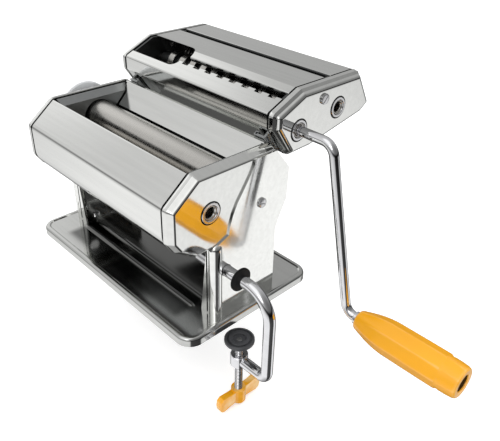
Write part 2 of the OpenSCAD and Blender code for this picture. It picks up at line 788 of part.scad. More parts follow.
// Extrudes a plan of [x, distance out] along the slide
module slide_bar(from, len) {
    p = rail_foot + from * slide_dir;
    translate([0, p[0], p[1]]) rotate([90 - slide_angle, 0, 0]) linear_extrude(len)
        children();
}

rail_x = 68;
rail_w = 9.5;
rail_lip = 3;
rail_t = 0.8;
tongue_t = 1.1;
tongue_gap = 0.25;
rail_depth = rail_t + tongue_t + 2 * tongue_gap;

module cutter_rails() {
    color("whitesmoke") both_sides() {
        slide_bar(0, rail_len) {
            translate([rail_x, seat]) square([rail_w, rail_t]);
            translate([rail_x, seat]) square([rail_t, rail_depth + rail_t]);
            translate([rail_x, seat + rail_depth]) square([rail_lip, rail_t]);
        }
        slide_bar(-rail_t, rail_t) translate([rail_x, seat]) square([rail_w, rail_depth]);
    }
}

module cutter_tongues() {
    plane = cutter_gap + cover_in;
    color("silver") both_sides() {
        slide_bar(0.1, rail_len - 1) {
            translate([rail_x + rail_t + 0.3, seat + rail_t + tongue_gap])
                square([rail_w - rail_t - 0.3, tongue_t]);
            translate([rail_x + rail_w - 2, seat + rail_t + tongue_gap])
                square([2, plane + cover_in - rail_t - tongue_gap - 2 * seat]);
        }
    }
}

// ---- Clamp socket ----

socket_in = stand_in - 24;
socket_flange_r = clamp_r + 4;

module clamp_socket() {
    color("silver") difference() {
        union() {
            x_cyl(clamp_r + 2, socket_in, stand_in - seat, clamp_at);
            x_cyl(socket_flange_r, stand_in - 1.5, stand_in - seat, clamp_at);
        }
        x_cyl(clamp_r + run, socket_in - 1, stand_in + 1, clamp_at);
    }
}

// ---- Cutter ----

module cutter_plate() {
    difference() {
        yz_prism(ring_offset(cutter_outline, plate_line), plate_in, plate_out);
        for (p = [wide_drive_at, thin_drive_at]) x_cyl(bush_r + seat, plate_in - 1, plate_out + 1, p);
        for (p = [wide_idle_at, thin_idle_at]) x_cyl(idle_bush_r + seat, plate_in - 1, plate_out + 1, p);
        for (p = cutter_rods) x_cyl(screw_hole_r, plate_in - 1, plate_out + 1, p);
        x_cyl(screw_shank_r + seat, plate_in - 1, plate_out + 1, cutter_screw_at);
    }
}

module cutter_plates() { color("lightsteelblue") both_sides() cutter_plate(); }

module right_cutter_cap() {
    color("gainsboro") difference() {
        union() {
            cap_shell(cutter_outline, cap_inset);
            cap_boss(cutter_screw_at, 4);
        }
        x_cyl(screw_hole_r, plate_out - 1, face_x + 1, cutter_screw_at);
        for (p = [wide_drive_at, thin_drive_at]) x_cyl(bush_r + run, face_x - 3, face_x + 1, p);
    }
}

module left_cutter_cap() {
    color("gainsboro") mirror([1, 0, 0]) difference() {
        union() {
            cap_shell(cutter_outline, cap_inset);
            cap_boss(cutter_screw_at, 4);
        }
        x_cyl(screw_hole_r, plate_out - 1, face_x + 1, cutter_screw_at);
    }
}

cutter_cover = ring_offset(cutter_outline, cover_in);
// Unit step down the hopper front, towards the brow
brow_dir = (cutter_cover[1] - cutter_cover[0]) / norm(cutter_cover[1] - cutter_cover[0]);
front_slot_from = 6.6;
rear_slot_from = 30.3;
slot_lip = 4;

// The open corner at the left end of the front slot
cleaning_from = -cover_end - 1;
cleaning_to = -22;

module cutter_front_cover() {
    edge = cutter_cover[0] + (front_slot_from + slot_w) * brow_dir;
    path = [edge + slot_lip * pair_down - 0.3 * slot_lip * brow_dir,
        edge + 0.4 * slot_lip * pair_down - 0.2 * slot_lip * brow_dir, edge, cutter_cover[1], cutter_cover[2],
        cutter_cover[3], cutter_cover[3] + [11, 0.33]];
    color("gainsboro") difference() {
        cover_sheet(path, sheet_t, cutter_outline);
        translate([cleaning_from, edge[0] - 7, brow[1] + 2]) cube([cleaning_to - cleaning_from - 12, 20, 20]);
        translate([cleaning_to - 12, edge[0], brow[1] + 2]) cylinder(r = 7, h = 20);
    }
}

module cutter_centre_cover() {
    edge = cutter_cover[0] + front_slot_from * brow_dir;
    back = cutter_cover[0] + [rear_slot_from, 0];
    path = [back + [0.8, -slot_lip], back + [0.5, -1.2], back, cutter_cover[0], edge,
        edge + 0.6 * slot_lip * pair_down + 0.3 * slot_lip * brow_dir, edge + slot_lip * pair_down];
    color("gainsboro") difference() {
        cover_sheet(path, sheet_t, cutter_outline);
        translate([cleaning_from, edge[0] - 8, edge[1] - 8]) cube([cleaning_to - cleaning_from - 12, 19, 20]);
        translate([cleaning_to - 12, edge[0] - 1, edge[1] - 8]) cylinder(r = 12, h = 20);
    }
}

module cutter_rear_cover() {
    edge = cutter_cover[0] + [rear_slot_from + slot_w, 0];
    path = [cutter_cover[5] - [6, 1.1], cutter_cover[5], cutter_cover[6], cutter_cover[7], edge,
        edge + [-0.3, -1.2], edge + [-0.5, -slot_lip]];
    color("gainsboro") cover_sheet(path, sheet_t, cutter_outline);
}

module cutter_tie_rods() {
    color("silver") for (p = cutter_rods)
        rod_between(p, cutter_rod_r, plate_in - seat, screw_shank_r + seat);
}

module cutter_screws() {
    color("silver") both_sides() {
        for (p = cutter_rods) side_screw(p, 3.6, plate_out + seat, plate_in - 10);
        side_screw(cutter_screw_at, 4, face_x + seat, plate_in + 0.2);
    }
}

idle_r = 4;
idle_bush_r = 5.5;

module short_bush(at, outer, inner) {
    difference() {
        union() {
            x_cyl(outer, plate_in + 0.1, plate_out + bush_lip, at);
            x_cyl(outer + 1.2, plate_out + seat, plate_out + bush_lip, at);
        }
        x_cyl(inner, plate_in - 1, plate_out + 3, at);
    }
}

module cutter_bushes() {
    color("silver") {
        for (p = [wide_drive_at, thin_drive_at]) {
            face_bush(p);
            mirror([1, 0, 0]) short_bush(p, bush_r, journal_r + run);
        }
        both_sides() for (p = [wide_idle_at, thin_idle_at]) short_bush(p, idle_bush_r, idle_r + run);
    }
}

module cutter_roller(at, noodle, half, journal, reach) {
    n = floor(cutter_len / (2 * noodle)) - 1;
    w = noodle - 0.12;
    x_cyl(core_r, -cutter_len / 2, cutter_len / 2, at);
    for (i = [0:n - half]) x_cyl(ring_r, ring_x(i, n, noodle, half) - w / 2, ring_x(i, n, noodle, half) + w / 2, at);
    x_cyl(journal, -plate_out - 0.8, reach, at);
}

// Place along X of ring i; the partner's rings stand half a pitch away
function ring_x(i, n, noodle, half) = (i - n / 2 + half / 2) * 2 * noodle;

module driven_roller(at, noodle) {
    difference() {
        cutter_roller(at, noodle, 0, journal_r, socket_x);
        socket_bore(at);
    }
}

module wide_drive_roller() { color("silver") driven_roller(wide_drive_at, wide_noodle); }
module thin_drive_roller() { color("silver") driven_roller(thin_drive_at, thin_noodle); }
module wide_idle_roller() { color("silver") cutter_roller(wide_idle_at, wide_noodle, 1, idle_r, plate_out + 0.8); }
module thin_idle_roller() { color("silver") cutter_roller(thin_idle_at, thin_noodle, 1, idle_r, plate_out + 0.8); }

cutter_tip = pair_pitch / 2 + 0.9;
cutter_root = pair_pitch / 2 - 1.2;
cutter_drive_gear = gear_outline(cutter_teeth, cutter_tip, cutter_root, 0.8, 1.7, pair_tilt);
cutter_idle_gear = gear_outline(cutter_teeth, cutter_tip, cutter_root, 0.8, 1.7,
    pair_tilt + 180 + 180 / cutter_teeth);

module wide_drive_gear() { color("goldenrod") gear(cutter_drive_gear, wide_drive_at, journal_r + seat); }
module thin_drive_gear() { color("goldenrod") gear(cutter_drive_gear, thin_drive_at, journal_r + seat); }
module wide_idle_gear() { color("goldenrod") gear(cutter_idle_gear, wide_idle_at, idle_r + seat); }
module thin_idle_gear() { color("goldenrod") gear(cutter_idle_gear, thin_idle_at, idle_r + seat); }

// A comb sheet whose fingers lie in the grooves of one roller, and whose bar joins the plates
module comb(at, angle, side, noodle, half) {
    n = floor(cutter_len / (2 * noodle)) - 1;
    radial = [cos(angle), sin(angle)];
    along = side * [sin(angle), -cos(angle)];
    w = noodle - 0.7;
    comb_t = 0.7;
    depth = core_r + 0.5;
    tip = -1.5;
    bar = 8.6;
    end = 12.4;
    // Plan of the comb: x along the machine, y from the finger tips to the bar
    gaps = [for (i = [0:n - 1 + half]) ring_x(i, n, noodle, 1 - half)];
    half_bar = plate_in - seat;
    translate([0, at[0] + depth * radial[0], at[1] + depth * radial[1]])
        rotate([atan2(along[1], along[0]), 0, 0]) translate([0, 0, side > 0 ? 0 : -comb_t])
        linear_extrude(comb_t) {
            translate([-half_bar, bar]) square([2 * half_bar, end - bar]);
            for (x = gaps) translate([x - w / 2, tip]) square([w, bar - tip + 0.1]);
        }
}

comb_angle = -20;

module pair_combs(drive, idle, noodle) {
    comb(drive, comb_angle, 1, noodle, 0);
    comb(idle, 2 * (pair_tilt - 90) - comb_angle, -1, noodle, 1);
}

module wide_combs() { color("silver") pair_combs(wide_drive_at, wide_idle_at, wide_noodle); }
module thin_combs() { color("silver") pair_combs(thin_drive_at, thin_idle_at, thin_noodle); }

// ---- Crank ----

crank_tip = socket_x - socket_depth + 0.1;
grip_end = grip_start + grip_len;
grip_z = wide_drive_at[1] - crank_arm;

module crank_rod() {
    y = wide_drive_at[0];
    color("silver") translate([0, y, 0]) difference() {
        union() {
            bent_rod([[crank_tip, wide_drive_at[1]], [crank_bend_x, wide_drive_at[1]],
                [crank_foot_x, grip_z], [grip_end - 6, grip_z]], [crank_bend_r, crank_bend_r], crank_r);
            // Drive blade at the tip, and the shoulder that the grip runs against
            translate([crank_tip - 3.8, -crank_r + 0.3, wide_drive_at[1] - 1]) cube([4, 2 * crank_r - 0.6, 2]);
            x_cyl(crank_r + 1.2, grip_start - 3, grip_start - 0.6, [0, grip_z]);
        }
        x_cyl(1.2, grip_end - 12, grip_end, [0, grip_z]);
    }
}

module crank_grip() {
    profile = [[crank_r + run, 0], [grip_r - 5.9, 0], [grip_r - 5, 1.5], [grip_r - 3.2, 8], [grip_r - 1.2, 16],
        [grip_r, 25], [grip_r, grip_len - 14], [grip_r - 0.7, grip_len - 12], [grip_r - 1.2, grip_len - 2],
        [grip_r - 2.4, grip_len], [6.2, grip_len], [6.2, grip_len - 5.4], [crank_r + run, grip_len - 5.4]];
    color("orange") translate([grip_start, wide_drive_at[0], grip_z]) rotate([0, 90, 0])
        rotate_extrude() polygon(profile);
}

module grip_rivet() {
    at = [wide_drive_at[0], grip_z];
    color("silver") {
        x_cyl(5.4, grip_end - 5, grip_end - 3.8, at);
        x_cyl(3, grip_end - 3.8, grip_end - 2.6, at);
        x_cyl(1.2 - seat, grip_end - 11, grip_end - 5, at);
        x_cyl(crank_r - 0.2, grip_end - 6 + seat, grip_end - 5, at);
    }
}

// ---- Table clamp ----

boss_h = 10;
boss_r = 6.5;
washer_in = stand_out + rib_r + 8.4;
washer_t = 2.2;
// Straight length of the rod between the washer and the upper bend
bend_gap = 6.05;
clamp_bend_r = clamp_reach - washer_in - washer_t - bend_gap;

module clamp_washer() {
    color("black") difference() {
        x_cyl(clamp_r + 4.4, washer_in, washer_in + washer_t, clamp_at);
        x_cyl(clamp_r + run, washer_in - 1, washer_in + 4, clamp_at);
    }
}

module clamp_frame() {
    color("silver") translate([0, clamp_at[0], 0]) difference() {
        union() {
            bent_rod([[socket_in + 1, clamp_z], [clamp_reach, clamp_z], [clamp_reach, -clamp_drop],
                [screw_x + screw_r + 0.6, -clamp_drop]], [clamp_bend_r, 7], clamp_r);
            translate([screw_x, 0, -clamp_drop - boss_h / 2]) cylinder(r = boss_r, h = boss_h);
        }
        translate([screw_x, 0, -clamp_drop - boss_h]) cylinder(r = screw_r + run, h = 2 * boss_h);
    }
}

pad_t = 3;
wing_z = -pad_drop - 56;
hub_h = 12;
hub_r = 5.6;

module clamp_screw() {
    color("silver") translate([screw_x, clamp_at[0], 0]) {
        translate([0, 0, wing_z - hub_h / 2 + 1]) cylinder(r = screw_r, h = -pad_drop - 4.2 - wing_z + hub_h / 2 - 1);
        translate([0, 0, -pad_drop - 4.3]) cylinder(r = screw_r - 0.9, h = 3.1);
    }
}

module clamp_wing() {
    w = wing_l;
    lobe = [[0, -5], [w * 0.45, -5.6], [w * 0.82, -6.6], [w * 0.96, -5], [w, -1], [w * 0.97, 4], [w * 0.85, 6.2],
        [w * 0.45, 5.2], [0, 4.6]];
    color("orange") translate([screw_x, clamp_at[0], wing_z]) difference() {
        union() {
            translate([0, 0, -hub_h / 2]) cylinder(r = hub_r, h = hub_h);
            translate([-2.6, 0, 0]) rotate([90, 0, 90]) linear_extrude(5.2) polygon(lobe);
            mirror([0, 1, 0]) translate([-2.6, 0, 0]) rotate([90, 0, 90]) linear_extrude(5.2) polygon(lobe);
        }
        translate([0, 0, -hub_h / 2 + 1 - seat]) cylinder(r = screw_r + seat, h = hub_h);
    }
}

module pressure_pad() {
    color("dimgray") translate([screw_x, clamp_at[0], -pad_drop]) difference() {
        union() {
            translate([0, 0, -pad_t]) cylinder(r = pad_r, h = pad_t);
            translate([0, 0, -pad_t - 1]) cylinder(r = 6, h = pad_t);
        }
        translate([0, 0, -pad_t - 2]) cylinder(r = screw_r - 0.9 + run, h = pad_t + 1);
        translate([0, 0, -0.6]) cylinder(r = 4, h = 2);
    }
}

// ---- Output ----

base_plate();
rubber_feet();
base_screws();
left_stand();
right_stand();
left_frame_plate();
right_frame_plate();
left_end_cap();
right_end_cap();
front_cover();
rear_hopper_plate();
rear_cover();
hopper_cheeks();
roller_scrapers();
tie_rods();
tie_rod_screws();
drive_bushes();
regulator_bushes();
dial_plate();
cutter_rails();
stand_screws();
clamp_socket();
drive_roller();
drive_gear();
regulator_axle();
knob_screw();
adjustable_roller();
adjustable_gear();
thickness_knob();
detent_pin();
knob_spring();
left_cutter_cap();
right_cutter_cap();
cutter_plates();
cutter_front_cover();
cutter_centre_cover();
cutter_rear_cover();
cutter_tie_rods();
cutter_screws();
cutter_bushes();
wide_combs();
thin_combs();
cutter_tongues();
wide_drive_roller();
wide_drive_gear();
wide_idle_roller();
wide_idle_gear();
thin_drive_roller();
thin_drive_gear();
thin_idle_roller();
thin_idle_gear();
crank_rod();
crank_grip();
grip_rivet();
clamp_washer();
clamp_frame();
clamp_screw();
clamp_wing();
pressure_pad();
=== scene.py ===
"""Pasta roller machine: finished pieces, materials and studio around its fixed frame."""

import json
from math import acos, atan2, copysign, cos, floor, hypot, pi, radians, sin, tan

import bmesh
import bpy
import numpy as np
from bpy.props import (BoolProperty, FloatProperty, FloatVectorProperty, IntProperty,
                       PointerProperty)
from mathutils import Matrix, Vector


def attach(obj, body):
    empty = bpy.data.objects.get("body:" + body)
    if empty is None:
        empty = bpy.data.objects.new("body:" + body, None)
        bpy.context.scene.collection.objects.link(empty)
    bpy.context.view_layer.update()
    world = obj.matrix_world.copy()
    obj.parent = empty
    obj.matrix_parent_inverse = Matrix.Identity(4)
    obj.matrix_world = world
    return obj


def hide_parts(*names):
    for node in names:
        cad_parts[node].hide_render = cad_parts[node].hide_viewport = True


bl_info = {
    "name": "Pasta Roller Machine",
    "version": (1, 0, 0),
    "blender": (4, 5, 0),
    "location": "View3D > Sidebar > Pasta Machine",
    "description": "Builds a hand-cranked pasta roller machine with its finishes and studio",
    "category": "Object",
}

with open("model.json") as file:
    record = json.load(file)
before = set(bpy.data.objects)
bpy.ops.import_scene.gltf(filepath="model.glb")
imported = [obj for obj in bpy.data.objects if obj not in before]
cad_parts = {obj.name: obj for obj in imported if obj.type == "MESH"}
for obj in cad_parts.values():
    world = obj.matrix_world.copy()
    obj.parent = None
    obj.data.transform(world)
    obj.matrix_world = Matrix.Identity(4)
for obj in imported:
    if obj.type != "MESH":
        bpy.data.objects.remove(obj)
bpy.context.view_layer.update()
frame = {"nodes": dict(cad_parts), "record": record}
NODES = frame["nodes"]
MM = 0.001
BODY_OF = {n: b for b, ns in frame["record"]["behaviour"]["bodies"].items() for n in ns}


# ---- Settings ----

def colour(name, text, value):
    return FloatVectorProperty(name=name, description=text, subtype="COLOR", size=3, min=0, max=1,
                               default=value)


def length(name, text, value):
    return FloatProperty(name=name, description=text, subtype="DISTANCE", unit="LENGTH", min=0,
                         default=value)


class SteelSettings(bpy.types.PropertyGroup):
    polished: colour("Polished Steel", "Colour of the mirror-polished sheet", (0.80, 0.805, 0.785))
    plain: colour("Plain Steel", "Colour of the plain sheet inside", (0.36, 0.37, 0.37))
    roller: colour("Roller Steel", "Colour of the ground rollers", (0.58, 0.565, 0.535))
    zinc: colour("Plated Steel", "Colour of screws and bushes", (0.66, 0.66, 0.67))
    chrome: colour("Chrome", "Colour of the crank's and clamp's rods", (0.82, 0.82, 0.84))
    haze: FloatProperty(name="Haze", description="How dull handling has made the polish",
                        subtype="FACTOR", min=0, max=1, default=0.25)


class PlasticSettings(bpy.types.PropertyGroup):
    yellow: colour("Yellow Plastic", "Colour of the grip and the wing", (0.92, 0.41, 0.008))
    knob: colour("Knob Plastic", "Colour of the thickness knob", (0.62, 0.63, 0.64))
    pad: colour("Pad Plastic", "Colour of the pressure pad", (0.055, 0.057, 0.062))
    rubber: colour("Rubber", "Colour of the feet and the washer", (0.006, 0.006, 0.006))


class ShapeSettings(bpy.types.PropertyGroup):
    corner: length("Cap Corner", "Radius of the end caps' corners at the lip", 4.2 * MM)
    fold: length("Sheet Fold", "Radius of the folds in the covers", 2.2 * MM)
    rim: length("Base Rim", "Radius of the rim round the base", 2.4 * MM)
    facets: IntProperty(name="Grip Facets", description="Flats along the grip", min=4, max=16,
                        default=8)
    flutes: IntProperty(name="Knob Flutes", description="Flutes round the knob", min=4, max=30,
                        default=18)
    thread: length("Thread Depth", "Depth of the clamp screw's thread", 0.55 * MM)
    numbers: BoolProperty(name="Knob Numbers", description="Numbers round the knob's skirt",
                          default=True)


class StudioSettings(bpy.types.PropertyGroup):
    lens: FloatProperty(name="Lens", description="Focal length", subtype="DISTANCE_CAMERA",
                        min=1, default=42.65)
    key: FloatProperty(name="Key Light", description="Power of the key light", unit="POWER",
                       min=0, default=7.0)
    fill: FloatProperty(name="Fill", description="Strength of the light from all round", min=0,
                        default=0.95)


SETTINGS = {"steel": SteelSettings, "plastic": PlasticSettings, "shape": ShapeSettings,
            "studio": StudioSettings}


def settings(kind):
    return getattr(bpy.context.scene, "pasta_" + kind)


# ---- Sizes shared by the pieces, in millimetres ----

def v2(*p):
    return np.array(p, float)


def turned(angle, r=1.0):
    return r * v2(cos(radians(angle)), sin(radians(angle)))


# Outlines and centres are (y, z). The cutter slides along SLIDE, and SLIDE_OUT points off it.
# Angles are in degrees: the brow's slope, the line between the smooth rollers' axles, and the
# knob's first step and sweep. The gaps are those between the axles of a pair.
SLIDE, SLIDE_OUT = turned(124), turned(34)
BROW_LEAN, AXLE_LEAN, AXLE_GAP, PAIR_GAP = 24, 18.2, 24.3, 17
KNOB_START, KNOB_SWEEP, DETENT_R = 198.2, 150, 14
BODY_REAR = 27.4 + 18.9 / tan(radians(56))
BODY_OUTLINE = [v2(27.4, 120.9), v2(-41, 120.9), v2(-62.3, 104), v2(-62.5, 80), v2(-57, 71.7),
                v2(-44, 62.5), v2(20, 62.5), v2(BODY_REAR - 5, 72), v2(BODY_REAR, 82),
                v2(BODY_REAR, 102)]
CORNER = v2(BODY_REAR, 102) + 3.7 * SLIDE_OUT + 3.7 * SLIDE
NOSE = CORNER + 27.5 * SLIDE
BROW = NOSE + v2(0, 10.9)
CREST = BROW + 11.7 * v2(1 / tan(radians(BROW_LEAN)), 1)
CUTTER_OUTLINE = [CREST, BROW, NOSE, CORNER, CORNER + v2(20, 0.6), CORNER + v2(77, 11.3),
                  CORNER + v2(88, 18.5), CREST + v2(61.5, 0)]
DRIVE = v2(-31, 92.4)
REGULATOR = DRIVE + (AXLE_GAP - cos(radians(KNOB_SWEEP))) * turned(AXLE_LEAN)
ADJUSTABLE = REGULATOR + turned(AXLE_LEAN)
WIDE_DRIVE = CORNER + v2(6.5, 18.5)
WIDE_IDLE = WIDE_DRIVE + turned(BROW_LEAN, PAIR_GAP)
THIN_DRIVE = WIDE_DRIVE + v2(40.5, 6.1)
THIN_IDLE = THIN_DRIVE + turned(BROW_LEAN, PAIR_GAP)
WIDE_NOODLE, THIN_NOODLE, CUTTER_LEN = 6.5, 1.9, 147.0
# Places along X: sheets and caps, bushes, seats of the screws' heads, rollers
LIP_X, FACE_X, COVER_END, PLATE_IN = 81.3, 89.5, 79.8, 78.2
BUSH_ROOT, BUSH_LIP, BUSH_END = 78.3, 81.4, 90.1
PLATE_SEAT, CAP_SEAT, STAND_SEAT = 80.22, 89.52, 90.77
ROLLER_END, SHAFT_END, SOCKET_END = 74.5, 81, 75.4
# Radii of the rollers, and the sheet's thickness
ROLLER_R, RING_R, CORE_R, JOURNAL_R, SOCKET_R, SHEET_T = 12, 10, 6.5, 5, 3.55, 0.8
# Screws and feet, and the tray's half width, half depth, corner radius, height and screw seat
TIE_RODS = [v2(-44, 73.5), v2(14, 74.2), v2(30, 92)]
CUTTER_RODS = [CORNER + v2(-8, 26), CORNER + v2(35, 11), CORNER + v2(77, 21)]
STAND_SCREW, CUTTER_SCREW = v2(13, 83.5), CORNER + v2(30.7, 34.8)
BASE_SCREWS = [(x, y) for x in (-81.55, 81.55) for y in (-18, 20)]
FEET = [(x, y, 0) for x in (-86, 86) for y in (-47, 47)]
TRAY_W, TRAY_D, TRAY_R, TRAY_H, FOOT_SEAT = 100, 61, 12, 8, 8.42
# Crank and clamp
CRANK_R, CRANK_Y, GRIP_X, GRIP_Z = 3.5, WIDE_DRIVE[0], 158, WIDE_DRIVE[1] - 122.5
CLAMP_R, CLAMP, SCREW_AT = 4.15, v2(-18.8, 43), (105.0, -18.8)
THREAD_LOW, THREAD_TOP, THREAD_LEAD = -69.4, -14.3, 1.5
# The studio, in metres and degrees
FLOOR_Z, FLOOR_GLOW, FLOOR_SIZE = -0.0722, 0.42, 3.0
CAMERA_AT, CAMERA_LOOK = (0.32848, -0.23547, 0.28569), (-0.59789, 0.59847, -0.53326)
CAMERA_ROLL, SENSOR = 1.72, 36
KEY_AT, BACK_AT, LAMPS_AIM = (-0.55, -0.75, 1.15), (0.35, 0.9, 0.95), (0.03, 0.0, 0.06)


# ---- Mesh helpers ----

def new_object(name, data):
    obj = bpy.data.objects.new(name, data)
    bpy.context.scene.collection.objects.link(obj)
    return obj


def edit(obj, work):
    """Opens an object's mesh, does some work on it and writes it back."""
    bm = bmesh.new()
    bm.from_mesh(obj.data)
    work(bm)
    bm.to_mesh(obj.data)
    bm.free()
    return obj


def mesh_from(name, verts, faces, smooth=True):
    """A mesh from points in millimetres, with its doubles merged and its faces turned outwards."""
    mesh = bpy.data.meshes.new(name)
    mesh.from_pydata([tuple(MM * c for c in v) for v in verts], [], faces)

    def work(bm):
        bmesh.ops.remove_doubles(bm, verts=bm.verts, dist=1e-7)
        bmesh.ops.recalc_face_normals(bm, faces=bm.faces)
        for f in bm.faces:
            f.smooth = smooth
    return edit(new_object(name, mesh), work)


def sharpen(obj, degrees=35):
    """Keeps edges steeper than an angle crisp under smooth shading."""
    def work(bm):
        for f in bm.faces:
            f.smooth = True
        for e in bm.edges:
            e.smooth = len(e.link_faces) == 2 and e.calc_face_angle(0) < radians(degrees)
    return edit(obj, work)


def applied(obj):
    """Turns an object's modifiers into plain mesh."""
    bpy.context.view_layer.update()
    graph = bpy.context.evaluated_depsgraph_get()
    mesh = bpy.data.meshes.new_from_object(obj.evaluated_get(graph))
    obj.modifiers.clear()
    old, obj.data = obj.data, mesh
    if old.users == 0:
        bpy.data.meshes.remove(old)
    return obj


def modified(obj, kind, **options):
    """Runs one modifier on an object and keeps the plain mesh."""
    mod = obj.modifiers.new(kind.title(), kind)
    for k, v in options.items():
        setattr(mod, k, v)
    return applied(obj)


def bevelled(obj, width, segments=2, degrees=30):
    return sharpen(modified(obj, "BEVEL", width=width * MM, segments=segments,
                            limit_method="ANGLE", angle_limit=radians(degrees)))


def carved(obj, *cutters):
    for c in cutters:
        modified(obj, "BOOLEAN", operation="DIFFERENCE", solver="MANIFOLD", object=c)
        bpy.data.objects.remove(c)
    return obj


def joined(name, *objs):
    """Joins objects whose place is in their meshes into one."""
    both = new_object(name, bpy.data.meshes.new(name))

    def work(bm):
        for o in objs:
            bm.from_mesh(o.data)
    edit(both, work)
    for o in objs:
        bpy.data.objects.remove(o)
    return both


def mirrored(obj):
    """Flips a mesh to the machine's other side, with its faces still outwards."""
    def work(bm):
        bmesh.ops.scale(bm, vec=(-1, 1, 1), verts=bm.verts)
        bmesh.ops.reverse_faces(bm, faces=bm.faces)
    return edit(obj, work)


def left_of(a, b):
    d = b - a
    return v2(-d[1], d[0]) / np.linalg.norm(d)


def offset(p, d, closed=True):
    """Moves an outline, or an open path, to its left by a distance."""
    last = len(p) - 1
    out = []
    for i, q in enumerate(p):
        before, after = left_of(p[i - 1], q), left_of(q, p[(i + 1) % len(p)])
        if not closed:
            before, after = (after if i == 0 else before), (before if i == last else after)
        out.append(q + d * (before + after) / (1 + before @ after))
    return out


def corner_arc(a, q, b, r, steps):
    """Points that round the corner q between a and b."""
    u, w = (a - q) / np.linalg.norm(a - q), (b - q) / np.linalg.norm(b - q)
    half = acos(max(-1, min(1, u @ w))) / 2
    if half > radians(89.5):
        return [q] * steps
    back = min(r / tan(half), 0.48 * np.linalg.norm(a - q), 0.48 * np.linalg.norm(b - q))
    r = back * tan(half)
    centre = q + (u + w) / np.linalg.norm(u + w) * r / sin(half)
    s, e = q + u * back - centre, q + w * back - centre
    a0, a1 = atan2(s[1], s[0]), atan2(e[1], e[0])
    turn = (a1 - a0 + pi) % (2 * pi) - pi
    return [centre + r * v2(cos(a0 + turn * t), sin(a0 + turn * t))
            for t in np.linspace(0, 1, steps)]


def rounded_ring(p, r, steps=6):
    return [q for i in range(len(p))
            for q in corner_arc(p[i - 1], p[i], p[(i + 1) % len(p)], r, steps)]


def rounded_path(p, radii, steps=6):
    arcs = [corner_arc(*p[i:i + 3], r, steps) for i, r in enumerate(radii)]
    return [p[0], *(q for arc in arcs for q in arc), p[-1]]


def band(i, j, n):
    """Faces between the closed rings i and j, of n points each."""
    return [(i * n + k, i * n + (k + 1) % n, j * n + (k + 1) % n, j * n + k) for k in range(n)]


def bands(first, last, n):
    return [f for i in range(first, last) for f in band(i, i + 1, n)]


def disc(i, n):
    """The face that closes ring i."""
    return [i * n + k for k in range(n)]


def circle(sides):
    return [2 * pi * k / sides for k in range(sides)]


def lathe(name, profile, at, axis="x", sides=64, closed=False):
    """Turns a profile of (radius, place along the axis) round an axis through at."""
    verts = []
    n = len(profile)
    for r, h in profile:
        for a in circle(sides):
            p = (at[0] + r * cos(a), at[1] + r * sin(a))
            verts.append((h, *p) if axis == "x" else (*p, h))
    faces = bands(0, n - 1, sides)
    if closed:
        faces += band(n - 1, 0, sides)
    else:
        faces += [disc(i, sides) for i in (0, n - 1) if profile[i][0] > 1e-6]
    return sharpen(mesh_from(name, verts, faces), 32)


def tube(name, points, radii, sides=32):
    """A round bar along points in 3D, with a radius for each, closed at both ends."""
    pts = [Vector(p) for p in points]
    last = len(pts) - 1
    side = (pts[1] - pts[0]).normalized().orthogonal().normalized()
    verts = []
    for i, (p, r) in enumerate(zip(pts, radii)):
        along = (pts[min(i + 1, last)] - pts[max(i - 1, 0)]).normalized()
        side = (side - along * side.dot(along)).normalized()
        up = along.cross(side)
        verts += [p + (side * cos(a) + up * sin(a)) * r for a in circle(sides)]
    return sharpen(mesh_from(name, verts, bands(0, last, sides)
                             + [disc(0, sides), disc(last, sides)]), 40)


def bent_points(points, bends):
    """Points along a bar bent in the XZ plane, with true arcs at its bends."""
    return rounded_path([v2(*p) for p in points], bends, 21)


def slab(name, low, high):
    """A solid between two rings of points that match."""
    n = len(low)
    return mesh_from(name, low + high, band(0, 1, n) + [disc(0, n), disc(1, n)], smooth=False)


def prism(name, outline, x0, x1):
    """A solid with an outline of (y, z), between two places along X."""
    return slab(name, *([(x, p[0], p[1]) for p in outline] for x in (x0, x1)))


def upright(name, outline, z0, z1):
    """A solid with an outline of (x, y), between two heights."""
    return slab(name, *([(p[0], p[1], z) for p in outline] for z in (z0, z1)))


def box_outline(u0, u1, v0, v1):
    return [v2(u0, v0), v2(u1, v0), v2(u1, v1), v2(u0, v1)]


def softened(node, width, segments=2, degrees=30):
    """A copy of a fixed node with its flat faces merged and its edges broken."""
    mesh = NODES[node].data.copy()
    mesh.materials.clear()

    def work(bm):
        bmesh.ops.remove_doubles(bm, verts=bm.verts, dist=2e-6)
        bmesh.ops.dissolve_limit(bm, angle_limit=radians(0.6), verts=bm.verts,
                                 edges=bm.edges)
    copy = edit(new_object(node + "_finished", mesh), work)
    if "custom_normal" in mesh.attributes:
        mesh.attributes.remove(mesh.attributes["custom_normal"])
    return bevelled(copy, width, segments, degrees)


def two_toned(obj, inner, shaded="inner_steel"):
    """Gives the faces that pass a test a second, darker material: painted shade."""
    obj.data.materials.append(MATERIALS[shaded])
    for p in obj.data.polygons:
        if inner(p):
            p.material_index = 1


def place(obj, slot, *nodes, finish=None):
    """Gives a piece its material, its body and the fixed nodes that it stands for."""
    modified(obj, "WEIGHTED_NORMAL", keep_sharp=True, weight=90)
    obj.data.materials.clear()
    obj.data.materials.append(MATERIALS[finish or slot])
    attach(obj, BODY_OF[nodes[0]])
    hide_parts(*nodes)
    return obj


# ---- Node helpers ----

def feed(tree, node, sockets):
    """Gives a node its inputs, each a socket to link or a plain value."""
    for k, v in sockets.items():
        if isinstance(v, bpy.types.NodeSocket):
            tree.links.new(v, node.inputs[k])
        else:
            node.inputs[k].default_value = v
    return node


def add(tree, kind, sockets=None, **options):
    """The outputs of a new node."""
    n = tree.nodes.new(kind)
    for k, v in options.items():
        setattr(n, k, v)
    return feed(tree, n, sockets or {}).outputs


def maths(tree, operation, *values):
    return add(tree, "ShaderNodeMath", dict(enumerate(values)), operation=operation)[0]


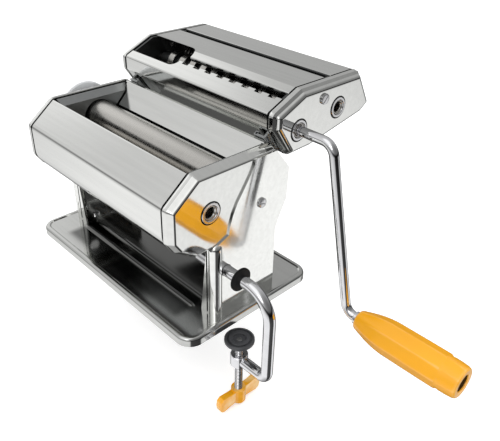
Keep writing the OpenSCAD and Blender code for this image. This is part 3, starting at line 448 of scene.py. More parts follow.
def vector_maths(tree, operation, *values):
    return add(tree, "ShaderNodeVectorMath", dict(enumerate(values)), operation=operation)


def spread(tree, value, low, high, out_low=0.0, out_high=1.0, kind="LINEAR"):
    return add(tree, "ShaderNodeMapRange", {
        "Value": value, "From Min": low, "From Max": high, "To Min": out_low,
        "To Max": out_high}, interpolation_type=kind)[0]


def mixed(tree, factor, a, b, kind="RGBA"):
    """Goes from a to b as the factor goes from 0 to 1."""
    return add(tree, "ShaderNodeMix", {"Factor": factor, "A": a, "B": b},
               data_type=kind)["Result"]


def shared(name):
    """Lets a function build its node group once and find it by name afterwards."""
    def wrap(build):
        return lambda: bpy.data.node_groups.get(name) or build(name)
    return wrap


def new_group(kind, name, inputs, outputs):
    """A node group with named sockets, and what its inputs give."""
    group = bpy.data.node_groups.new(name, kind + "NodeTree")
    for way, sockets in (("INPUT", inputs), ("OUTPUT", outputs)):
        for label, socket, *value in sockets:
            s = group.interface.new_socket(label, in_out=way, socket_type="NodeSocket" + socket)
            if value:
                s.default_value = value[0]
    return group, group.nodes.new("NodeGroupInput").outputs


def ended(group, **outputs):
    feed(group, group.nodes.new("NodeGroupOutput"), outputs)
    return group


# ---- Geometry Nodes ----

def shape_group(name, *inputs):
    """A geometry group that takes a shape, named values and a material."""
    return new_group("Geometry", name, [("Geometry", "Geometry"), *inputs,
                                        ("Material", "Material")], [("Geometry", "Geometry")])


def instanced(tree, given, points, shape, **rotation):
    """Ends a tree with the shape at each point, as plain mesh in the given material."""
    copies = add(tree, "GeometryNodeInstanceOnPoints",
                 {"Points": points, "Instance": shape, **rotation})[0]
    real = add(tree, "GeometryNodeRealizeInstances", {0: copies})[0]
    return ended(tree, Geometry=add(tree, "GeometryNodeSetMaterial", {
        "Geometry": real, "Material": given["Material"]})[0])


@shared("Row of Shapes")
def row_tree(name):
    """Repeats a shape at even steps along X: the rings of a roller."""
    tree, given = shape_group(name, ("Count", "Int", 5), ("Pitch", "Float", 0.01),
                              ("Start", "Float", 0.0))
    first, step = (add(tree, "ShaderNodeCombineXYZ", {"X": given[key]})[0]
                   for key in ("Start", "Pitch"))
    line = add(tree, "GeometryNodeMeshLine", {
        "Count": given["Count"], "Start Location": first, "Offset": step})[0]
    return instanced(tree, given, line, given["Geometry"])


@shared("Ring of Shapes")
def round_tree(name):
    """Repeats a shape round an axis along X through a centre: the knob's flutes."""
    tree, given = shape_group(name, ("Count", "Int", 12), ("Centre", "Vector", (0, 0, 0)),
                              ("First Angle", "Float", 0.0))
    points = add(tree, "GeometryNodePoints", {"Count": given["Count"],
                                              "Position": given["Centre"]})[0]
    share = maths(tree, "DIVIDE", add(tree, "GeometryNodeInputIndex")[0], given["Count"])
    angle = maths(tree, "MULTIPLY_ADD", share, 2 * pi, given["First Angle"])
    turn = add(tree, "ShaderNodeCombineXYZ", {"X": angle})[0]
    return instanced(tree, given, points, given["Geometry"], Rotation=turn)


@shared("Shapes on Points")
def place_tree(name):
    """Puts a shape at each point of a mesh, turned to the point's own direction: screws."""
    tree, given = shape_group(name, ("Shape", "Object"))
    shape = add(tree, "GeometryNodeObjectInfo", {"Object": given["Shape"]})["Geometry"]
    turn = add(tree, "GeometryNodeInputNamedAttribute", {"Name": "turn"},
               data_type="FLOAT_VECTOR")[0]
    return instanced(tree, given, given["Geometry"], shape, Rotation=turn)


def with_tree(obj, tree, **values):
    """Runs a geometry tree on an object, with its inputs set, and keeps the plain mesh."""
    mod = obj.modifiers.new(tree.name, "NODES")
    mod.node_group = tree
    keys = {i.name: i.identifier for i in tree.interface.items_tree if i.in_out == "INPUT"}
    for label, value in values.items():
        mod[keys[label.replace("_", " ").title()]] = value
    return applied(obj)


def scattered(name, shape, places, slot):
    """One object that holds a shape at each place: ((x, y, z) in mm, (rx, ry, rz) in degrees)."""
    mesh = bpy.data.meshes.new(name)
    mesh.from_pydata([tuple(MM * c for c in p) for p, _ in places], [], [])
    turn = mesh.attributes.new("turn", "FLOAT_VECTOR", "POINT")
    turn.data.foreach_set("vector", [radians(c) for _, t in places for c in t])
    obj = with_tree(new_object(name, mesh), place_tree(), shape=shape,
                    material=MATERIALS[slot])
    bpy.data.objects.remove(shape)
    return sharpen(obj, 32)


# ---- Shader groups ----

def stretched_noise(tree, scale, stretch, detail=4.0):
    """Noise on object coordinates, drawn out along one axis."""
    where = add(tree, "ShaderNodeMapping", {
        "Vector": add(tree, "ShaderNodeTexCoord")["Object"], "Scale": stretch})[0]
    return add(tree, "ShaderNodeTexNoise", {"Vector": where, "Scale": scale,
                                            "Detail": detail})["Fac"]


def shader_group(name, inputs, *outputs):
    return new_group("Shader", name, [(label, "Float", value) for label, value in inputs.items()],
                     [(label, "Float") for label in outputs])


@shared("Sheet Grain")
def sheet_grain(name):
    """Rolling lines along the sheet and the haze that handling leaves on a polish."""
    group, given = shader_group(
        name, {"Line Scale": 260.0, "Haze Scale": 16.0, "Waviness": 0.5}, "Lines", "Haze", "Height")
    lines = stretched_noise(group, given["Line Scale"], (0.05, 1, 1))
    haze = stretched_noise(group, given["Haze Scale"], (0.6, 1, 1), 5.0)
    height = maths(group, "MULTIPLY_ADD", haze, given["Waviness"],
                   maths(group, "MULTIPLY", lines, 0.006))
    return ended(group, Lines=spread(group, lines, 0.35, 0.7),
                 Haze=spread(group, haze, 0.42, 0.72), Height=height)


@shared("Edge Wear")
def edge_wear_and_highlight(name):
    """Where corners stand proud: a mask broken up by noise, which lightens them as rubbed wear and,
    on the yellow plastic, as painted highlight.
    """
    group, given = shader_group(name, {"Patch Scale": 90.0, "Amount": 0.5}, "Mask")
    edge = spread(group, add(group, "ShaderNodeNewGeometry")["Pointiness"], 0.52, 0.60)
    patch = stretched_noise(group, given["Patch Scale"], (1, 1, 1), 6.0)
    rubbed_and_highlit = maths(group, "MULTIPLY", edge, spread(group, patch, 0.35, 0.65))
    return ended(group, Mask=maths(group, "MULTIPLY", rubbed_and_highlit, given["Amount"]))


@shared("Moulded Skin")
def moulded_skin(name):
    """The fine orange-peel of a moulded plastic, and slow changes of tone."""
    group, given = shader_group(name, {"Peel Scale": 900.0, "Tone Scale": 30.0}, "Height", "Tone")
    tone = stretched_noise(group, given["Tone Scale"], (0.5, 1, 1), 3.0)
    return ended(group, Height=stretched_noise(group, given["Peel Scale"], (1, 1, 1), 2.0),
                 Tone=spread(group, tone, 0.3, 0.7))


@shared("Turning Lines")
def turning_lines(name):
    """Fine rings round the X axis, as a lathe or a grinder leaves them on a roller."""
    group, given = shader_group(name, {"Ring Scale": 900.0}, "Lines", "Height")
    rings = stretched_noise(group, given["Ring Scale"], (1, 0.02, 0.02), 3.0)
    return ended(group, Lines=spread(group, rings, 0.3, 0.7), Height=rings)


@shared("Under Body")
def painted_shade_under_body(name):
    """The painted shade's mask: 1 between the stands, where the tray faces the dark underside of
    the machine.
    """
    group, given = shader_group(name, {"Softness": 0.008}, "Mask")
    middle = vector_maths(group, "ADD", add(group, "ShaderNodeTexCoord")["Object"],
                          (0, 0.0015, 0))[0]
    out = add(group, "ShaderNodeSeparateXYZ", {0: vector_maths(group, "ABSOLUTE", middle)[0]})
    inside = [spread(group, out[axis], maths(group, "SUBTRACT", edge, given["Softness"]), edge,
                     1.0, 0.0, "SMOOTHSTEP") for axis, edge in (("X", 0.076), ("Y", 0.052))]
    return ended(group, Mask=maths(group, "MULTIPLY", *inside))


# ---- Materials ----

MATERIALS = {}


def new_material(name):
    material = bpy.data.materials.new(name)
    material.use_nodes = True
    return material, material.node_tree, material.node_tree.nodes["Principled BSDF"]


def use_group(tree, group, **values):
    return add(tree, "ShaderNodeGroup", {k.replace("_", " ").title(): v
                                         for k, v in values.items()}, node_tree=group)


def bumped(tree, height, distance, strength=0.5):
    return add(tree, "ShaderNodeBump", {"Height": height, "Distance": distance,
                                        "Strength": strength})[0]


def shade(c, f):
    return tuple(min(1, v * f) for v in c)


def toned(tree, mask, base, dark, light):
    """A colour between a darker and a lighter tone of the base."""
    return mixed(tree, mask, (*shade(base, dark), 1), (*shade(base, light), 1))


def steel(name, base, rough_low, rough_high, waviness=0.0, lines=260.0, wave_depth=0.0002):
    material, tree, shader = new_material(name)
    grain = use_group(tree, sheet_grain(), line_scale=lines, waviness=waviness)
    feed(tree, shader, {
        "Metallic": 1.0,
        "Base Color": toned(tree, grain["Lines"], base, 0.97, 1.03),
        "Roughness": spread(tree, grain["Haze"], 0, 1, rough_low, rough_high),
        "Normal": bumped(tree, grain["Height"], wave_depth, 0.6)})
    return material


def turned_steel(name, base, rough_low, rough_high, depth=0.000003):
    material, tree, shader = new_material(name)
    rings = use_group(tree, turning_lines())
    feed(tree, shader, {
        "Metallic": 1.0,
        "Base Color": toned(tree, rings["Lines"], base, 0.96, 1.03),
        "Roughness": spread(tree, rings["Lines"], 0, 1, rough_low, rough_high),
        "Normal": bumped(tree, rings["Height"], depth)})
    return material


def plastic(name, base, rough, coat=0.0, worn_and_highlight_colour=None, peel=900.0, depth=0.00003, wear_and_highlight=0.45):
    material, tree, shader = new_material(name)
    skin = use_group(tree, moulded_skin(), peel_scale=peel)
    # The edge mask lightens rubbed corners; with a pale colour it also paints highlights on the
    # edges.
    rubbed_and_highlit = use_group(tree, edge_wear_and_highlight(), amount=wear_and_highlight)["Mask"]
    tone = toned(tree, skin["Tone"], base, 0.93, 1.05)
    feed(tree, shader, {
        "Base Color": mixed(tree, rubbed_and_highlit, tone, (*(worn_and_highlight_colour or shade(base, 1.25)), 1)),
        "Roughness": spread(tree, skin["Tone"], 0, 1, rough * 0.85, rough * 1.2),
        "Coat Weight": coat,
        "Coat Roughness": 0.08,
        "Specular IOR Level": 0.5 if rough < 0.5 else 0.2,
        "Normal": bumped(tree, skin["Height"], depth)})
    return material


def tray_with_painted_shade(material, base):
    """Darkens the tray between the stands with painted shade, where it lies under the machine's
    dark underside.
    """
    tree = material.node_tree
    shader = tree.nodes["Principled BSDF"]
    unshaded_colour = shader.inputs["Base Color"].links[0].from_socket
    mask = use_group(tree, painted_shade_under_body())["Mask"]
    feed(tree, shader, {"Base Color": mixed(tree, mask, unshaded_colour, (*shade(base, 0.3), 1))})
    return material


def make_materials():
    s, p = settings("steel"), settings("plastic")
    haze = 0.24 * s.haze
    tray = shade(s.polished, 0.74)
    MATERIALS.update(
        polished_steel=steel("mirror_steel", s.polished, 0.06, 0.09 + haze, 0.12, 300, 0.0003),
        # Painted light: the stands get a lighter copy of the polished steel, standing in for the
        # strong light they catch.
        stand_steel=steel("painted_light_stand_steel", shade(s.polished, 1.14), 0.07, 0.1 + haze,
                          0.12, 300, 0.0003),
        plain_steel=steel("plain_steel", s.plain, 0.22, 0.42, 0.1, 420),
        roller_steel=turned_steel("ground_roller_steel", s.roller, 0.2, 0.32),
        # Painted shade: the tray is darkened between the stands, under the machine's body.
        tray_steel=tray_with_painted_shade(steel("tray_steel", tray, 0.08, 0.1 + haze, 0.12, 300), tray),
        # Painted shade: a dark copy of the plain steel for gaps, recesses and the machine's inside.
        inner_steel=steel("shaded_inner_steel", shade(s.plain, 0.3), 0.3, 0.5, 0.1, 420),
        gear_steel=steel("oiled_gear_steel", shade(s.plain, 0.8), 0.25, 0.45, 0.2, 500),
        zinc_steel=steel("plated_steel", s.zinc, 0.16, 0.3, 0.1, 600, 0.0001),
        chrome_rod=steel("bright_chrome", s.chrome, 0.03, 0.09, 0.0, 200, 0.0001),
        knob_grey=plastic("knob_plastic", p.knob, 0.32, 0.15),
        # The yellow's pale, strong edge tint is partly wear and partly painted highlight along the
        # grip's and wing's edges.
        yellow_plastic=plastic("yellow_plastic", p.yellow, 0.24, 0.5, (1.0, 0.78, 0.4), wear_and_highlight=0.8),
        # Painted shade: a dark yellow for the deep bore of the grip.
        shaded_yellow=plastic("shaded_yellow_plastic", shade(p.yellow, 0.08), 0.5),
        dark_plastic=plastic("dark_plastic", p.pad, 0.42, 0.0, (0.12, 0.12, 0.13)),
        black_rubber=plastic("black_rubber", p.rubber, 0.6, 0.0, (0.03, 0.03, 0.03), 600, 0.00005),
        dial_ink=plastic("dial_ink", (0.02, 0.02, 0.025), 0.5),
    )


# ---- Sheet-metal shapes ----

def pressed_cap(name, outline, holes, soft):
    """A pressed cap on the right-hand side: rolled lip, straight rim, slope, soft edge, face."""
    corner = settings("shape").corner / MM
    turn, knee = FACE_X - soft, LIP_X + 3.6
    lip = [(1.0, LIP_X), (0.45, LIP_X), (0.12, LIP_X + 0.25), (0, LIP_X + 0.6),
           (0.06, LIP_X + 1.0), (0.3, LIP_X + 1.4)]
    slope = [(0.45 + 1.85 * t, knee + (turn - knee) * t) for t in (0, 0.08, 0.35, 0.7, 1.0)]
    edge = [(2.3 + soft * (1 - cos(a)) + 0.2 * a, turn + soft * sin(a))
            for a in np.linspace(0.15, pi / 2, 9)]
    inner = [(edge[-1][0] + 1.0, FACE_X - 1.1), (soft + 2.2, turn), (1.7, LIP_X + 2),
             (1.25, LIP_X + 0.4)]

    def ring(d, x, r):
        return [(x, *q) for q in rounded_ring(offset(outline, d), r)]

    rings = [ring(d, x, max(corner - 0.85 * d, 1.3)) for d, x in lip + slope + edge]
    top = len(rings)
    rings += [ring(d, x, max(corner - d, 1.0)) for d, x in inner]
    n, last = len(rings[0]), len(rings) - 1
    cap = mesh_from(name, [v for r in rings for v in r],
                    bands(0, top - 1, n) + bands(top, last, n) + band(0, last, n)
                    + [disc(top - 1, n), disc(top, n)])
    cutters = [lathe("hole", [(r, FACE_X - 3.5), (r, FACE_X + 1.5)], p, sides=48) for p, r in holes]
    return sharpen(carved(cap, *cutters), 40)


def folded_sheet(name, path, folds, outline, cutters, thickness):
    """A sheet folded along X, whose inward lips stop short of the side plates."""
    line = rounded_path(path, folds)
    back = offset(line, thickness, closed=False)
    sheet = prism(name, line + back[::-1], -COVER_END, COVER_END)
    inside = offset(outline, 1.2)
    sides = [prism("side", inside, s * (PLATE_IN - 0.25), s * (COVER_END + 1)) for s in (-1, 1)]
    return bevelled(carved(sheet, *sides, *cutters), 0.16, 2, 50)


def looks_in(outline, depth=100.0):
    """A test for the faces that look into the machine, or lie deeper than its skin."""
    middle = sum(outline) / len(outline)
    sides = []
    for p, q in zip(outline, outline[1:] + outline[:1]):
        n = v2(p[1] - q[1], q[0] - p[0]) / np.linalg.norm(q - p)
        sides.append((p, n if n @ (middle - p) > 0 else -n))

    def test(face):
        at = v2(face.center.y, face.center.z) / MM
        facing = v2(face.normal.y, face.normal.z) @ (middle - at)
        return facing > 0.3 or min(n @ (at - p) for p, n in sides) > depth
    return test


# ---- Operators ----

class BuildBase(bpy.types.Operator):
    """The pressed tray with its screw holes, and its feet"""
    bl_idname = "pasta.build_base"
    bl_label = "Base Tray"

    def execute(self, context):
        rim = settings("shape").rim / MM

        def ring(inset, z):
            w, d, r = TRAY_W - inset, TRAY_D - inset, max(TRAY_R - inset, 1.5)
            return [(cx * (w - r) + r * cos(a), cy * (d - r) + r * sin(a), z)
                    for cx, cy, start in ((1, 1, 0), (-1, 1, 90), (-1, -1, 180), (1, -1, 270))
                    for a in np.radians(np.linspace(start, start + 90, 11))]

        arc = [(rim * (1 - cos(a)), TRAY_H - rim + rim * sin(a))
               for a in np.linspace(0, pi / 2, 8)]
        drop = [(3.5 + 0.5 * (1 - cos(a)), 7.6 + 0.4 * cos(a))
                for a in np.linspace(0, pi, 7)]
        under = [(5.0, 6.2), (2.8, 6.4), (1.7, 5.6), (1.2, 4.6), (1.2, 1.1), (1.0, 1.0)]
        rings = [ring(*p) for p in [(0.2, 1.0), (0, 1.2)] + arc + drop + [(4.6, 7.2)] + under]
        n, last, top = len(rings[0]), len(rings) - 1, 2 + len(arc) + len(drop)
        tray = mesh_from("tray", [v for r in rings for v in r],
                         bands(0, top, n) + [disc(top, n), disc(top + 1, n)]
                         + bands(top + 1, last, n) + band(last, 0, n))
        carved(tray, *(lathe("hole", [(2.1, 4.0), (2.1, 9.0)], p, axis="z", sides=24)
                       for p in BASE_SCREWS))
        sharpen(tray, 30)
        place(joined("base_tray", tray, *(self.bead(y) for y in (-33, -22, 48))),
              "polished_steel", "base_plate", finish="tray_steel")
        foot = lathe("foot", [(0, 0), (6.6, 0), (7.4, 0.2), (7.9, 0.8), (8, 1.4), (7.8, 6.1),
                              (0, 6.15)], (0, 0), axis="z", sides=40)
        feet = scattered("foot_pads", foot, [(p, (0, 0, 0)) for p in FEET], "black_rubber")
        place(feet, "black_rubber", "rubber_feet")
        return {"FINISHED"}

    def bead(self, y):
        """A long swage pressed up out of the tray's floor."""
        half, run = 73, 6
        ease = run * np.linspace(0, 1, 9) ** 1.5
        xs = np.concatenate([-half + ease, np.linspace(-60, 60, 13),
                             half - run * np.linspace(1, 0, 9) ** 1.5])
        vs = np.linspace(-2.5, 2.5, 13)
        verts = []
        for x in xs:
            lift = sin(min(1.0, (half - abs(x)) / run) * pi / 2)
            verts += [(x, y + v * (0.35 + 0.65 * lift),
                       7.19 + 1.1 * lift * cos(pi * v / 5) ** 2) for v in vs]
        m, rows = len(vs), len(xs)
        faces = [(i * m + k, i * m + k + 1, (i + 1) * m + k + 1, (i + 1) * m + k)
                 for i in range(rows - 1) for k in range(m - 1)]
        rim = (list(range(m)) + [i * m + m - 1 for i in range(1, rows)]
               + [(rows - 1) * m + k for k in range(m - 2, -1, -1)]
               + [i * m for i in range(rows - 2, 0, -1)])
        low, around = len(verts), len(rim)
        verts += [(verts[i][0], verts[i][1], 7.0) for i in rim]
        faces += [(rim[k], rim[(k + 1) % around], low + (k + 1) % around, low + k)
                  for k in range(around)]
        faces.append([low + k for k in range(around)])
        return mesh_from("bead", verts, faces)


class BuildStands(bpy.types.Operator):
    """The two pressed side stands with their ribs and flanges"""
    bl_idname = "pasta.build_stands"
    bl_label = "Side Stands"

    def execute(self, context):
        for node in ("left_stand", "right_stand"):
            stand = softened(node, 0.3, 2, 35)
            stand.name = node + "_panel"
            # Painted light: the stands take the lighter copy of the polished steel.
            place(stand, "polished_steel", node, finish="stand_steel")
        return {"FINISHED"}


class BuildCaps(bpy.types.Operator):
    """The four pressed end caps"""
    bl_idname = "pasta.build_caps"
    bl_label = "End Caps"

    def execute(self, context):
        bush, screw = 8.3, 2.1
        for node, outline, soft, holes in (
                ("right_end_cap", BODY_OUTLINE, 1.5, [(STAND_SCREW, screw), (DRIVE, bush)]),
                ("left_end_cap", BODY_OUTLINE, 1.5, [(STAND_SCREW, screw), (REGULATOR, 7.0)]),
                ("right_cutter_cap", CUTTER_OUTLINE, 3.0,
                 [(CUTTER_SCREW, screw), (WIDE_DRIVE, bush), (THIN_DRIVE, bush)]),
                ("left_cutter_cap", CUTTER_OUTLINE, 3.0, [(CUTTER_SCREW, screw)])):
            cap = pressed_cap(node + "_pressing", outline, holes, soft)
            side = -1 if node.startswith("left") else 1
            if side < 0:
                mirrored(cap)
            place(cap, "polished_steel", node)
            outward, lip, face = looks_in(outline), (LIP_X + 0.5) * MM, 88 * MM
            # Painted shade: the cap's inner walls and the faces behind its lip get the dark steel,
            # so the gaps look black.
            two_toned(cap, lambda p: (side * p.normal.x < -0.3 and side * p.center.x > lip)
                      or (side * p.center.x < face and outward(p)))
        return {"FINISHED"}


class BuildCovers(bpy.types.Operator):
    """The folded covers of the body and of the cutter"""
    bl_idname = "pasta.build_covers"
    bl_label = "Folded Covers"

    def execute(self, context):
        fold = settings("shape").fold / MM
        c = offset(BODY_OUTLINE, 0.4)
        self.sheet("front_cover", [c[1] + v2(3.6, -9.5), *c[1:5], c[4] + 0.8 * (c[5] - c[4])],
                   [1.1, 2.6 * fold, 14, 3.0], BODY_OUTLINE)
        self.sheet("rear_cover", [c[6] + v2(4, 0.3), c[7], c[8], c[9], c[0] - 1.6 * SLIDE],
                   [3.0, 6.0, fold], BODY_OUTLINE)
        self.sheet("rear_hopper_plate", [v2(10.6, 105.6), c[0] + v2(-2.6, -0.1),
                                         c[0] + v2(-0.3, -0.1)], [0.9], BODY_OUTLINE, outer=False)
        k = offset(CUTTER_OUTLINE, 0.4)
        along = (k[1] - k[0]) / np.linalg.norm(k[1] - k[0])
        down = v2(sin(radians(BROW_LEAN)), -cos(radians(BROW_LEAN)))
        edge = k[0] + 13.1 * along
        cuts = [self.opening(edge[0] - 7, edge[0] + 13, 7.0, edge[0], BROW[1] + 2, BROW[1] + 22),
                self.notches(edge)]
        self.sheet("cutter_front_cover",
                   [edge + 4 * down - 1.2 * along, edge + 1.6 * down - 0.8 * along, edge, k[1],
                    k[2], k[3], k[3] + v2(11, 0.33)],
                   [1.5, 0.9, 2.0, fold, 2.6], CUTTER_OUTLINE, cuts)
        edge, back = k[0] + 6.6 * along, k[0] + v2(30.3, 0)
        cuts = [self.opening(edge[0] - 8, edge[0] + 11, 12.0, edge[0] - 1, edge[1] - 8,
                             edge[1] + 12)]
        self.sheet("cutter_centre_cover",
                   [back + v2(0.8, -4), back + v2(0.5, -1.2), back, k[0], edge,
                    edge + 2.4 * down + 1.2 * along, edge + 4 * down],
                   [1.5, 0.9, fold, 0.9, 1.5], CUTTER_OUTLINE, cuts)
        edge = k[0] + v2(36.8, 0)
        self.sheet("cutter_rear_cover",
                   [k[5] - v2(6, 1.1), k[5], k[6], k[7], edge, edge + v2(-0.3, -1.2),
                    edge + v2(-0.5, -4)],
                   [3.0, 3.0, fold, 0.9, 1.5], CUTTER_OUTLINE)
        return {"FINISHED"}

    def opening(self, y0, y1, r, at, z0, z1):
        """The rounded opening at the slot's left end, as one upright cutter."""
        arc = [(-34 + r * cos(a), at + r * sin(a))
               for a in np.linspace(-pi / 2, pi / 2, 25)]
        return upright("opening", [(-81, y0), (-36, y0), *arc, (-36, y1), (-81, y1)], z0, z1)

    def notches(self, edge):
        """The notches between the wide rings, along the slot's front edge."""
        pitch = 2 * WIDE_NOODLE
        outline = [edge + p for p in box_outline(-2.3, 4, -8, 4)]
        return joined("notches", *(prism("notch", outline, pitch * (k + 0.25), pitch * (k + 0.75))
                                   for k in range(-2, 6)))

    def sheet(self, node, path, folds, outline, cutters=(), outer=True):
        piece = folded_sheet(node + "_sheet", path, folds, outline, cutters,
                             SHEET_T if outer else -SHEET_T)
        place(piece, "polished_steel", node)
        if outer:
            # Painted shade: the lips and the faces that look into the machine get the dark steel.
            two_toned(piece, looks_in(outline, 1.7))


class BuildInside(bpy.types.Operator):
    """The hopper's cheeks, the slide's rails and the plain parts that stay as they are"""
    bl_idname = "pasta.build_inside"
    bl_label = "Inner Parts"

    def execute(self, context):
        for node, width in (("hopper_cheeks", 0.12), ("cutter_rails", 0.12),
                            ("cutter_tongues", 0.15), ("clamp_socket", 0.3),
                            ("roller_scrapers", 0.1)):
            slot = "zinc_steel" if node == "clamp_socket" else "plain_steel"
            place(softened(node, width), slot, node)
        return {"FINISHED"}


class BuildRollers(bpy.types.Operator):
    """The smooth rollers and the two pairs of ringed cutting rollers"""
    bl_idname = "pasta.build_rollers"
    bl_label = "Rollers"

    def execute(self, context):
        place(lathe("smooth_drive_roller", self.driven(ROLLER_R, ROLLER_END), DRIVE, sides=96),
              "roller_steel", "drive_roller")
        ring = [(6.05, -74.5), (11.7, -74.5), (12, -74.2), (12, 74.1), (11.7, 74.4), (8.6, 74.4),
                (8.5, 74.78), (6.05, 74.78)]
        place(lathe("smooth_adjustable_roller", ring, ADJUSTABLE, sides=96, closed=True),
              "roller_steel", "adjustable_roller")
        for kind, noodle, sides, drive, idle in (
                ("wide", WIDE_NOODLE, 64, WIDE_DRIVE, WIDE_IDLE),
                ("thin", THIN_NOODLE, 48, THIN_DRIVE, THIN_IDLE)):
            self.ringed(kind + "_drive_roller", drive, noodle, 0, sides,
                        self.driven(CORE_R, CUTTER_LEN / 2))
            self.ringed(kind + "_idle_roller", idle, noodle, 1, sides,
                        [(0, -SHAFT_END), (3.8, -SHAFT_END), (4, -80.8), (4, -75), (CORE_R, -75),
                         (CORE_R, 75), (4, 75), (4, 80.8), (3.8, SHAFT_END), (0, SHAFT_END)])
        return {"FINISHED"}

    def ringed(self, node, at, noodle, half, sides, core):
        """A core with its rings; half a step along, they run between those of the other."""
        n = floor(CUTTER_LEN / (2 * noodle)) - 1
        w = noodle - 0.12
        soft = min(0.25, 0.12 * w)
        bore = CORE_R - 0.2
        ring = lathe("ring", [(bore, -w / 2), (RING_R - soft, -w / 2), (RING_R, soft - w / 2),
                              (RING_R, w / 2 - soft), (RING_R - soft, w / 2), (bore, w / 2)], at,
                     sides=sides, closed=True)
        rings = with_tree(ring, row_tree(), count=n - half + 1, pitch=2 * noodle * MM,
                          start=(-n / 2 + half / 2) * 2 * noodle * MM,
                          material=MATERIALS["roller_steel"])
        both = joined(node + "_turned", rings, lathe("core", core, at))
        place(sharpen(both, 32), "roller_steel", node)
        # Painted shade: the core between the rings gets the dark steel.
        grooves = (RING_R - 0.5) * MM
        two_toned(both, lambda p: abs(p.center.x) < (ROLLER_END - 0.5) * MM and hypot(
            p.center.y - at[0] * MM, p.center.z - at[1] * MM) < grooves)

    def driven(self, r, end):
        """A roller's profile with a crank socket bored into its right journal."""
        j = JOURNAL_R
        return [(0, -SHAFT_END), (j - 0.3, -SHAFT_END), (j, 0.3 - SHAFT_END), (j, -end),
                (r - 0.3, -end), (r, 0.3 - end), (r, end - 0.3), (r - 0.3, end), (j, end),
                (j, 89.1), (j - 0.25, 89.4), (4.5, 89.4), (4.3, 89.2), (3.7, 88.5),
                (SOCKET_R, 88.2), (SOCKET_R, SOCKET_END), (0, SOCKET_END)]


class BuildBushes(bpy.types.Operator):
    """The bushes whose ends show as bright rings in the caps"""
    bl_idname = "pasta.build_bushes"
    bl_label = "Bushes"

    def execute(self, context):
        bore, axle_bore, idle_bore, body, flange = 5.05, 4.55, 4.05, 7.4, 8.8
        face = self.root(bore, body) + [
            (flange, PLATE_SEAT), (flange, BUSH_LIP - 0.2), (body, BUSH_LIP), (body, 89.75),
            (7.05, BUSH_END), (5.85, BUSH_END), (5.4, 89.7), (bore, 89.0)]
        hub = self.root(axle_bore, body) + [
            (flange, PLATE_SEAT), (flange, BUSH_LIP), (6.35, BUSH_LIP), (6.35, 89.8),
            (6.1, BUSH_END), (4.8, BUSH_END), (axle_bore, 89.8)]
        short = self.short(bore, body, flange, 5.3)
        axle = self.short(axle_bore, body, flange, 5.3)
        idle = self.short(idle_bore, 5.5, 6.7, 4.3)
        drives = (WIDE_DRIVE, THIN_DRIVE)
        self.rings("drive_bushes", [(face, DRIVE, 1), (short, DRIVE, -1)])
        self.rings("regulator_bushes", [(axle, REGULATOR, 1), (hub, REGULATOR, -1)])
        self.rings("cutter_bushes",
                   [(profile, p, s) for profile, s in ((face, 1), (short, -1)) for p in drives]
                   + [(idle, p, s) for p in (WIDE_IDLE, THIN_IDLE) for s in (-1, 1)])
        return {"FINISHED"}

    def root(self, bore, body):
        """The start of a bush's profile, in its plate."""
        return [(bore, BUSH_ROOT), (body, BUSH_ROOT), (body, PLATE_SEAT)]

    def short(self, bore, body, flange, mouth):
        """The profile of a bush that ends at its flange."""
        return self.root(bore, body) + [
            (flange - 0.2, PLATE_SEAT), (flange, 80.4), (flange, BUSH_LIP - 0.2),
            (flange - 0.2, BUSH_LIP), (mouth, BUSH_LIP), (bore, BUSH_LIP - 0.3)]

    def rings(self, node, bushes):
        both = joined(node + "_turned", *(
            lathe("bush", [(r, s * x) for r, x in profile], at, closed=True)
            for profile, at, s in bushes))
        place(both, "zinc_steel", node)
        # Painted shade: the parts of the bushes inside the caps get the dark steel.
        two_toned(both, lambda p: abs(p.center.x) < 87.5 * MM)


